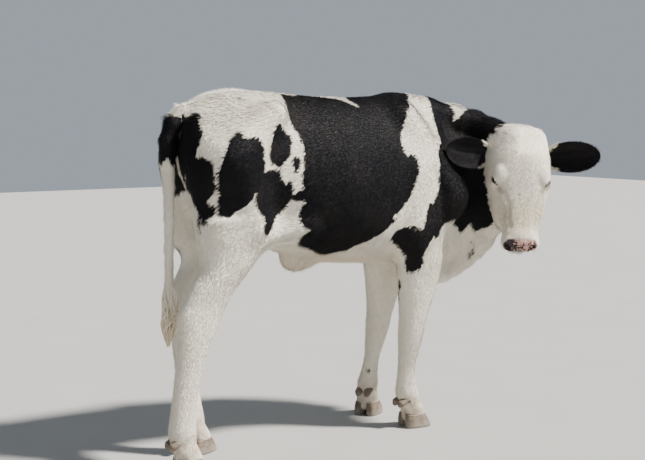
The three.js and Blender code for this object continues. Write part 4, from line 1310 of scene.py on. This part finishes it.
def addLids():
    rim = skinMaterial("lidMargin", (0.10, 0.060, 0.050), (0.035, 0.024, 0.022))
    pale = skinMaterial("lash", (0.78, 0.72, 0.62), (0.60, 0.52, 0.42))
    chance = np.random.default_rng(lash["seed"])
    for name, side in (("right", -1), ("left", 1)):
        count, sides = lidMargin["count"], lidMargin["sides"]
        points = tube(lidEdge(count), lidMargin["radius"], sides, True) * (1, side, 1)
        faces = facing(grid(count + 1, sides) % (count * sides), side < 0)
        margin = addPiece("lid_" + name, toWorld(fromHead(points)), faces, rim, True)
        edge = lidEdge(200, 0.5, 2.0)
        points, faces = [], []
        steps = len(lash["thick"])
        for number in range(lash["count"]):
            upper = chance.random() < lash["upper"]
            place = chance.uniform(0.1, 0.9) * 100 + (0 if upper else 100)
            root = edge[int(place)]
            e = unit(root - eyeSpot["centre"])
            reach = chance.uniform(8, 13) if upper else chance.uniform(3, 6)
            lift = lidUp * (0.35 if upper else -0.9) + lidAlong * chance.uniform(-0.3, 0.45)
            lift = lift + chance.normal(0, 0.1, 3)
            t = np.linspace(0, 1, steps)[:, None]
            curl = lidUp * t ** 3 * (0.5 if upper else 0)
            path = root + (e * t + lift * t ** 1.5 * 0.9 - curl) * reach * 0.8
            points.append(tube(path, lash["thick"], lash["sides"], False) * (1, side, 1))
            faces.append(capped(steps, lash["sides"]) + number * steps * lash["sides"])
        places = toWorld(fromHead(np.concatenate(points)))
        lashes = addPiece("lash_" + name, places, facing(np.concatenate(faces), side < 0), pale, True)
        for piece, slot in ((margin, "hide_black"), (lashes, "hide_white")):
            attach(piece, "root")


# Ears.

ear = {"root": np.array([78.0, 84.0, -92.0]), "tip": np.array([110.0, 276.0, 26.0]),
       "rows": 44, "around": 48, "up": np.array([0.4305, 0, 0.9026]), "seed": 77}
earCoat = {  # how many tufts, and their width, reach and lift in degrees
    "fur": (8000, 2.2, 0, 0), "inner": (500, 1.4, 30, 14),
    "fringe": (800, 2.2, 9, 34), "base": (620, 3.2, 19, 16),
}
earEdges = {"fringe": (0.20, 0.78, 0.25), "base": (0.08, 0.19, 0.28)}  # start, span, spread about the edge
whiteRoot = {"level": 0.13, "edges": 0.15}  # how far the white reaches up the ear, and further at its edges
# From root to tip: half width, thickness and how deep the ear is cupped.
earLine = curve([
    [0, 22, 17, 0], [0.12, 27, 15, 0.02], [0.22, 41, 11, 0.2], [0.32, 50, 8, 0.3],
    [0.52, 56, 6, 0.36], [0.73, 51, 5, 0.34], [0.9, 34, 5, 0.2], [1, 9, 4, 0],
])
earAxis = ear["tip"] - ear["root"]
earAcross = unit(np.cross(earAxis, ear["up"]))
earFacing = unit(np.cross(earAcross, earAxis))


def earPoint(t, turn, inset=1.6):
    # along the ear from 0 to 1, and around it; the inner side is where the sine is above zero
    half, thick, cup = (row.reshape(t.shape) for row in earLine(t.ravel()))
    half, thick = half - inset, np.maximum(thick * 0.75 - inset * 0.5, 1.6)
    wide = half * np.cos(turn)
    deep = thick * np.sin(turn) + cup * half * (np.cos(turn) ** 2 - 0.5)
    ribs = 1.2 * np.sin(turn).clip(0) * np.cos(5 * turn)
    deep = deep + ribs * smoothStep(0.3, 0.5, t) * smoothStep(1.0, 0.8, t)
    return (ear["root"] + earAxis * t[..., None] + earAcross * wide[..., None] + earFacing * deep[..., None])


def addEarSkin(name, side, material):
    rows, columns = ear["rows"], ear["around"]
    ring = np.linspace(0, 2 * np.pi, columns, endpoint=False)
    t, turn = np.meshgrid(np.linspace(0, 0.992, rows), ring, indexing="ij")
    places = fromHead(earPoint(t, turn).reshape(-1, 3) * (1, side, 1))
    piece = addPiece("ear_" + name, toWorld(places), facing(capped(rows, columns), side < 0), material, True)
    pale = smoothStep(0.15, 0.12, t.ravel() - whiteRoot["edges"] * np.cos(turn).ravel() ** 4)
    addNumbers(piece.data, mark=np.where(pale > 0.5, -9.0, 9.0), warm=0.3 * pale,
               stain=np.zeros(len(places)), tone=np.full(len(places), 0.5))
    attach(piece, "root")
    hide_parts("ear_" + name)


def earRoots(kind, count, chance):
    # how far along the ear and around it each tuft of one kind stands
    u, v = chance.random(count) * 0.93 + 0.03, chance.random(count) * 2 * np.pi
    if kind == "inner":
        u, v = 0.22 + 0.55 * chance.random(count), chance.uniform(0.15, 0.6, count) * np.pi
    if kind in earEdges:
        first, span, spread = earEdges[kind]
        u, v = first + span * chance.random(count), np.where(chance.random(count) < 0.5, 0, np.pi)
        v = v + chance.normal(0, spread, count)
    return u, v


def earTufts(kind, chance):
    count, wide, far, tilt = earCoat[kind]
    u, v = earRoots(kind, count, chance)
    root = earPoint(u, v)
    along = unit(earPoint(u + 0.02, v) - root)
    turned = unit(earPoint(u, v + 0.04) - earPoint(u, v - 0.04))
    normal = unit(np.cross(along, turned))
    outward = unit(root - (ear["root"] + earAxis * u[:, None]))
    edge = whiteRoot["level"] + whiteRoot["edges"] * np.cos(v) ** 4 + chance.normal(0, 0.012, count)
    white = (u < edge) | (kind == "base")
    values = {"mark": np.where(white, -9.0, 9.0), "warm": np.where(white, 0.25, 0.0),
              "stain": np.zeros(count), "tone": chance.normal(0.5, 0.14, count)}
    length = chance.uniform(5, 9, count)
    width = np.full(count, wide)
    if kind == "fur":
        rise = chance.uniform(0.8, 1.8, count)
        return shortTufts(root, normal, along, length, width, rise, chance), u, v, values
    reach = far * chance.uniform(0.6, 1.3, count)
    lift = np.radians(tilt * chance.uniform(0.5, 1.4, count))
    lie = along
    if kind == "fringe":
        normal = unit(outward + 0.3 * normal)
        lie = unit(along - normal * (along * normal).sum(1, keepdims=True))
    if kind == "inner":
        values["tone"] = values["tone"] + 0.3
        lie = unit(along + 0.5 * earAcross * np.sign(np.cos(v))[:, None])
        lie = unit(lie - normal * (lie * normal).sum(1, keepdims=True))
    return longTufts(root, normal, lie, reach, width * 0.55, lift, lie * 0.3), u, v, values


def addEars():
    material = hideMaterial("earSkin", 0.0008, True)
    chance = np.random.default_rng(ear["seed"])
    parts = []
    for name, side in (("right", -1), ("left", 1)):
        addEarSkin(name, side, material)
        for kind in earCoat:
            (corners, shades), u, v, values = earTufts(kind, chance)
            place = 0.02 + 0.96 * np.stack([u, (v / (2 * np.pi)) % 1 * 0.48 + 0.5 * (side > 0)], 1)
            tufts = fromHead(corners * (1, side, 1)), shades * (1, side, 1) @ headTurn.T
            pattern = facing(shortFaces if kind == "fur" else longFaces, side > 0)
            parts.append((tufts, pattern, place, values))
    piece = addTufts("coatEars", parts, hideMaterial("earHair", 0.001, False))
    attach(piece, "root")


# Claws and dewclaws.

horn = {"dark": (0.118, 0.088, 0.064), "pale": (0.225, 0.175, 0.130), "band": (0.075, 0.056, 0.042),
        "worn": (0.30, 0.27, 0.23)}
claws = {"middle": 50.0, "top": 49.6, "rows": 26, "around": 40, "ridge": 0.55,
         "wornBelow": 50.0}
# Up each claw: heel, toe, inner side and outer side.
clawLine = curve([
    [0, -43, 58, 3, 44], [8, -45, 57, 2.5, 47], [30, -45, 46, 2.5, 46], [49.6, -42, 34, 2.5, 42],
])
dewclaw = {"height": 106.0, "ahead": -34.0, "aside": 18.0, "length": 30.0, "rows": 13,
           "taper": ((0, 0.5, 0.86, 1), (15, 14, 9, 4.5))}


def footPlace(leg, height, ahead, left, z):
    x, y, cos, sin, _, _ = legMiddle(leg, np.full(1, height))
    return np.stack([x + ahead * cos - left * sin, y + ahead * sin + left * cos, z], -1)


def hornMaterial():
    material, tree, shader, place = newMaterial("clawHorn", Specular_IOR_Level=0.4)
    cloud = noise(tree, place, 40.0, 3.0)
    flat = addNode(tree, "ShaderNodeMapping", Vector=place, Scale=(0.15, 0.15, 1.0))
    upright = addNode(tree, "ShaderNodeMapping", Vector=place, Scale=(1.0, 1.0, 0.1))
    bands, grain = noise(tree, flat, 420.0, 3.0), noise(tree, upright, 700.0, 2.0)
    colour = blendColours(tree, cloud.step(0.3, 0.7), horn["dark"], horn["pale"])
    colour = blendColours(tree, bands.step(0.45, 0.7) * 0.6, colour, horn["band"])
    colour = blendColours(tree, reading(tree, "low").step(0.3, 1.0) * 0.55, colour, horn["worn"])
    plug(tree, shader.inputs["Base Color"], colour)
    plug(tree, shader.inputs["Roughness"], 0.40 + grain * 0.35)
    addBump(tree, shader, bands + grain * 0.5, 0.4, 0.0015)
    return material


def clawRings(leg, side, turn):
    across = np.sign(np.sin(turn)) * np.abs(np.sin(turn)) ** 0.7
    rings = []
    for z in np.linspace(0, claws["top"], claws["rows"]):
        heel, toe, near, far = (value[0] for value in clawLine(np.array([z])))
        ripples = claws["ridge"] * math.sin(z * 0.85 + 0.4 * math.sin(z * 0.31)) * min(1, z / 8)
        shrink = 1 - 0.06 * max(0, 1 - z / 2.0)
        ahead = mix(heel, toe, (1 + np.cos(turn)) / 2) * shrink + ripples * np.cos(turn) * 0.8
        left = side * (mix(near, far, (1 + across) / 2) + ripples * 0.5 * (across > 0))
        rings.append(footPlace(leg, claws["middle"], ahead, left, np.full(len(turn), z)))
    return rings


def dewclawRings(leg, side, turn):
    rings = []
    for t in np.arange(dewclaw["rows"]) / (dewclaw["rows"] - 1):
        radius = np.interp(t, *dewclaw["taper"])
        down = dewclaw["length"] * t
        u, v = radius * np.cos(turn), radius * np.sin(turn)
        ahead = dewclaw["ahead"] + 0.8 * u - (0.45 + 0.1 * t) * down + 14 * max(0, 1 - 2 * t)
        height = dewclaw["height"] - 0.6 * u - 0.85 * down
        rings.append(footPlace(leg, dewclaw["height"], ahead, side * dewclaw["aside"] + v, height))
    return rings


def addHorn(node, points, faces, low, material):
    piece = addPiece(node, toWorld(points), faces, material, True)
    addNumbers(piece.data, low=low)
    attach(piece, "root")
    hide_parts(node)


def addClaws():
    material = hornMaterial()
    columns = claws["around"]
    turn = np.linspace(0, 2 * np.pi, columns, endpoint=False)
    for legName, leg in legs.items():
        end, sideName = legName.split("_")
        for inner, place in (("inner", -1), ("outer", 1)):
            side = place * (1 if sideName == "left" else -1)
            points = np.concatenate(clawRings(leg, side, turn))
            faces = facing(capped(claws["rows"], columns), side > 0)
            low = 1 - points[:, 2] / claws["wornBelow"]
            addHorn(end + "_claw_" + sideName + "_" + inner, points, faces, low, material)
            points = np.concatenate(dewclawRings(leg, side, turn))
            faces = capped(dewclaw["rows"], columns)[:, ::-1]
            low = np.repeat(np.linspace(0, 0.6, dewclaw["rows"]), columns)
            addHorn(end + "_dewclaw_" + sideName + "_" + inner, points, faces, low, material)


# The tail's switch.

switch = {"locks": 150, "steps": 13, "sides": 5, "seed": 505}
# From the tail's end to the tip of the hair: x, y, z and how wide the locks spread.
switchLine = curve([
    [0, -492, -15, 589, 16], [0.22, -489, -16, 545, 25], [0.5, -491, -17, 490, 28],
    [0.76, -498, -18, 440, 22], [1, -500, -20, 388, 5],
])


def addSwitch():
    chance = np.random.default_rng(switch["seed"])
    steps, sides = switch["steps"], switch["sides"]
    points, faces, tone = [], [], []
    for number in range(switch["locks"]):
        start = chance.uniform(-0.18, 0.35)
        end = min(1.0, start + chance.uniform(0.55, 0.95))
        t = np.linspace(start, end, steps)
        x, y, z, radius = switchLine(np.clip(t, 0, 1))
        z = z + np.where(t < 0, -t * 190, 0)
        spread = chance.uniform(0.25, 1.0) ** 0.6 * smoothStep(start - 0.15, start + 0.3, t)
        spread = np.maximum(spread, 0.55 * (t < start + 0.1))
        turn = chance.uniform(0, 2 * np.pi) + 0.5 * np.sin(t * 7 + number)
        wave = chance.uniform(2.0, 4.5) * np.sin(t * chance.uniform(17, 26) + chance.uniform(0, 6.3))
        wave = wave * smoothStep(0.1, 0.5, t)
        away = radius * spread
        x = x + away * np.cos(turn) + wave * np.sin(turn)
        y = y + away * np.sin(turn) - wave * np.cos(turn)
        path = np.stack([x, y, z], 1)
        thick = chance.uniform(2.4, 4.2) * np.sin(np.pi * np.linspace(0.12, 0.985, steps)) ** 0.6
        points.append(tube(path, thick, sides, False))
        faces.append(capped(steps, sides) + number * steps * sides)
        tone.append(np.repeat(np.linspace(0.35, 0.65, steps), sides) + chance.normal(0, 0.12))
    points, faces, tone = np.concatenate(points), np.concatenate(faces), np.concatenate(tone)
    material = hideMaterial("switchHair", 0.001, False)
    piece = addPiece("tailSwitch", toWorld(points), faces[:, ::-1], material, True)
    low = smoothStep(560, 430, points[:, 2])
    addNumbers(piece.data, mark=np.full(len(points), -9.0), warm=0.35 + 0.45 * low,
               stain=0.22 * low, tone=tone)
    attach(piece, "root")
    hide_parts("tail_switch")
    print("tail switch:", len(faces), "triangles")


# The whole animal.

addCamera()
addStudio()
print("camera, floor and light done")
points, faces, normals = makeSkin()
skin = addPiece("skin", toWorld(points), faces, hideMaterial("skinHide", 0.0016, True), smooth=True)
warm, stain, bare, mottle = tintsAt(points)
skinNumbers = {"mark": markAt(points), "warm": warm, "stain": stain, "bare": bare}
addNumbers(skin.data, **skinNumbers, mottle=mottle, tone=0.5 + 0.25 * ripple(points, 22, 91, (0.4, 1, 0.8)))
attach(skin, "root")
ownPieces = ("ear_", "eye_", "fore_claw", "fore_dew", "hind_claw", "hind_dew", "tail_switch")
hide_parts(*[name for name in nodes if not name.startswith(ownPieces)])
print("skin done")
addCoat(points, faces, normals, skinNumbers)
addEyes()
addLids()
print("eyes and lids done")
addEars()
addClaws()
print("ears and claws done")
addSwitch()
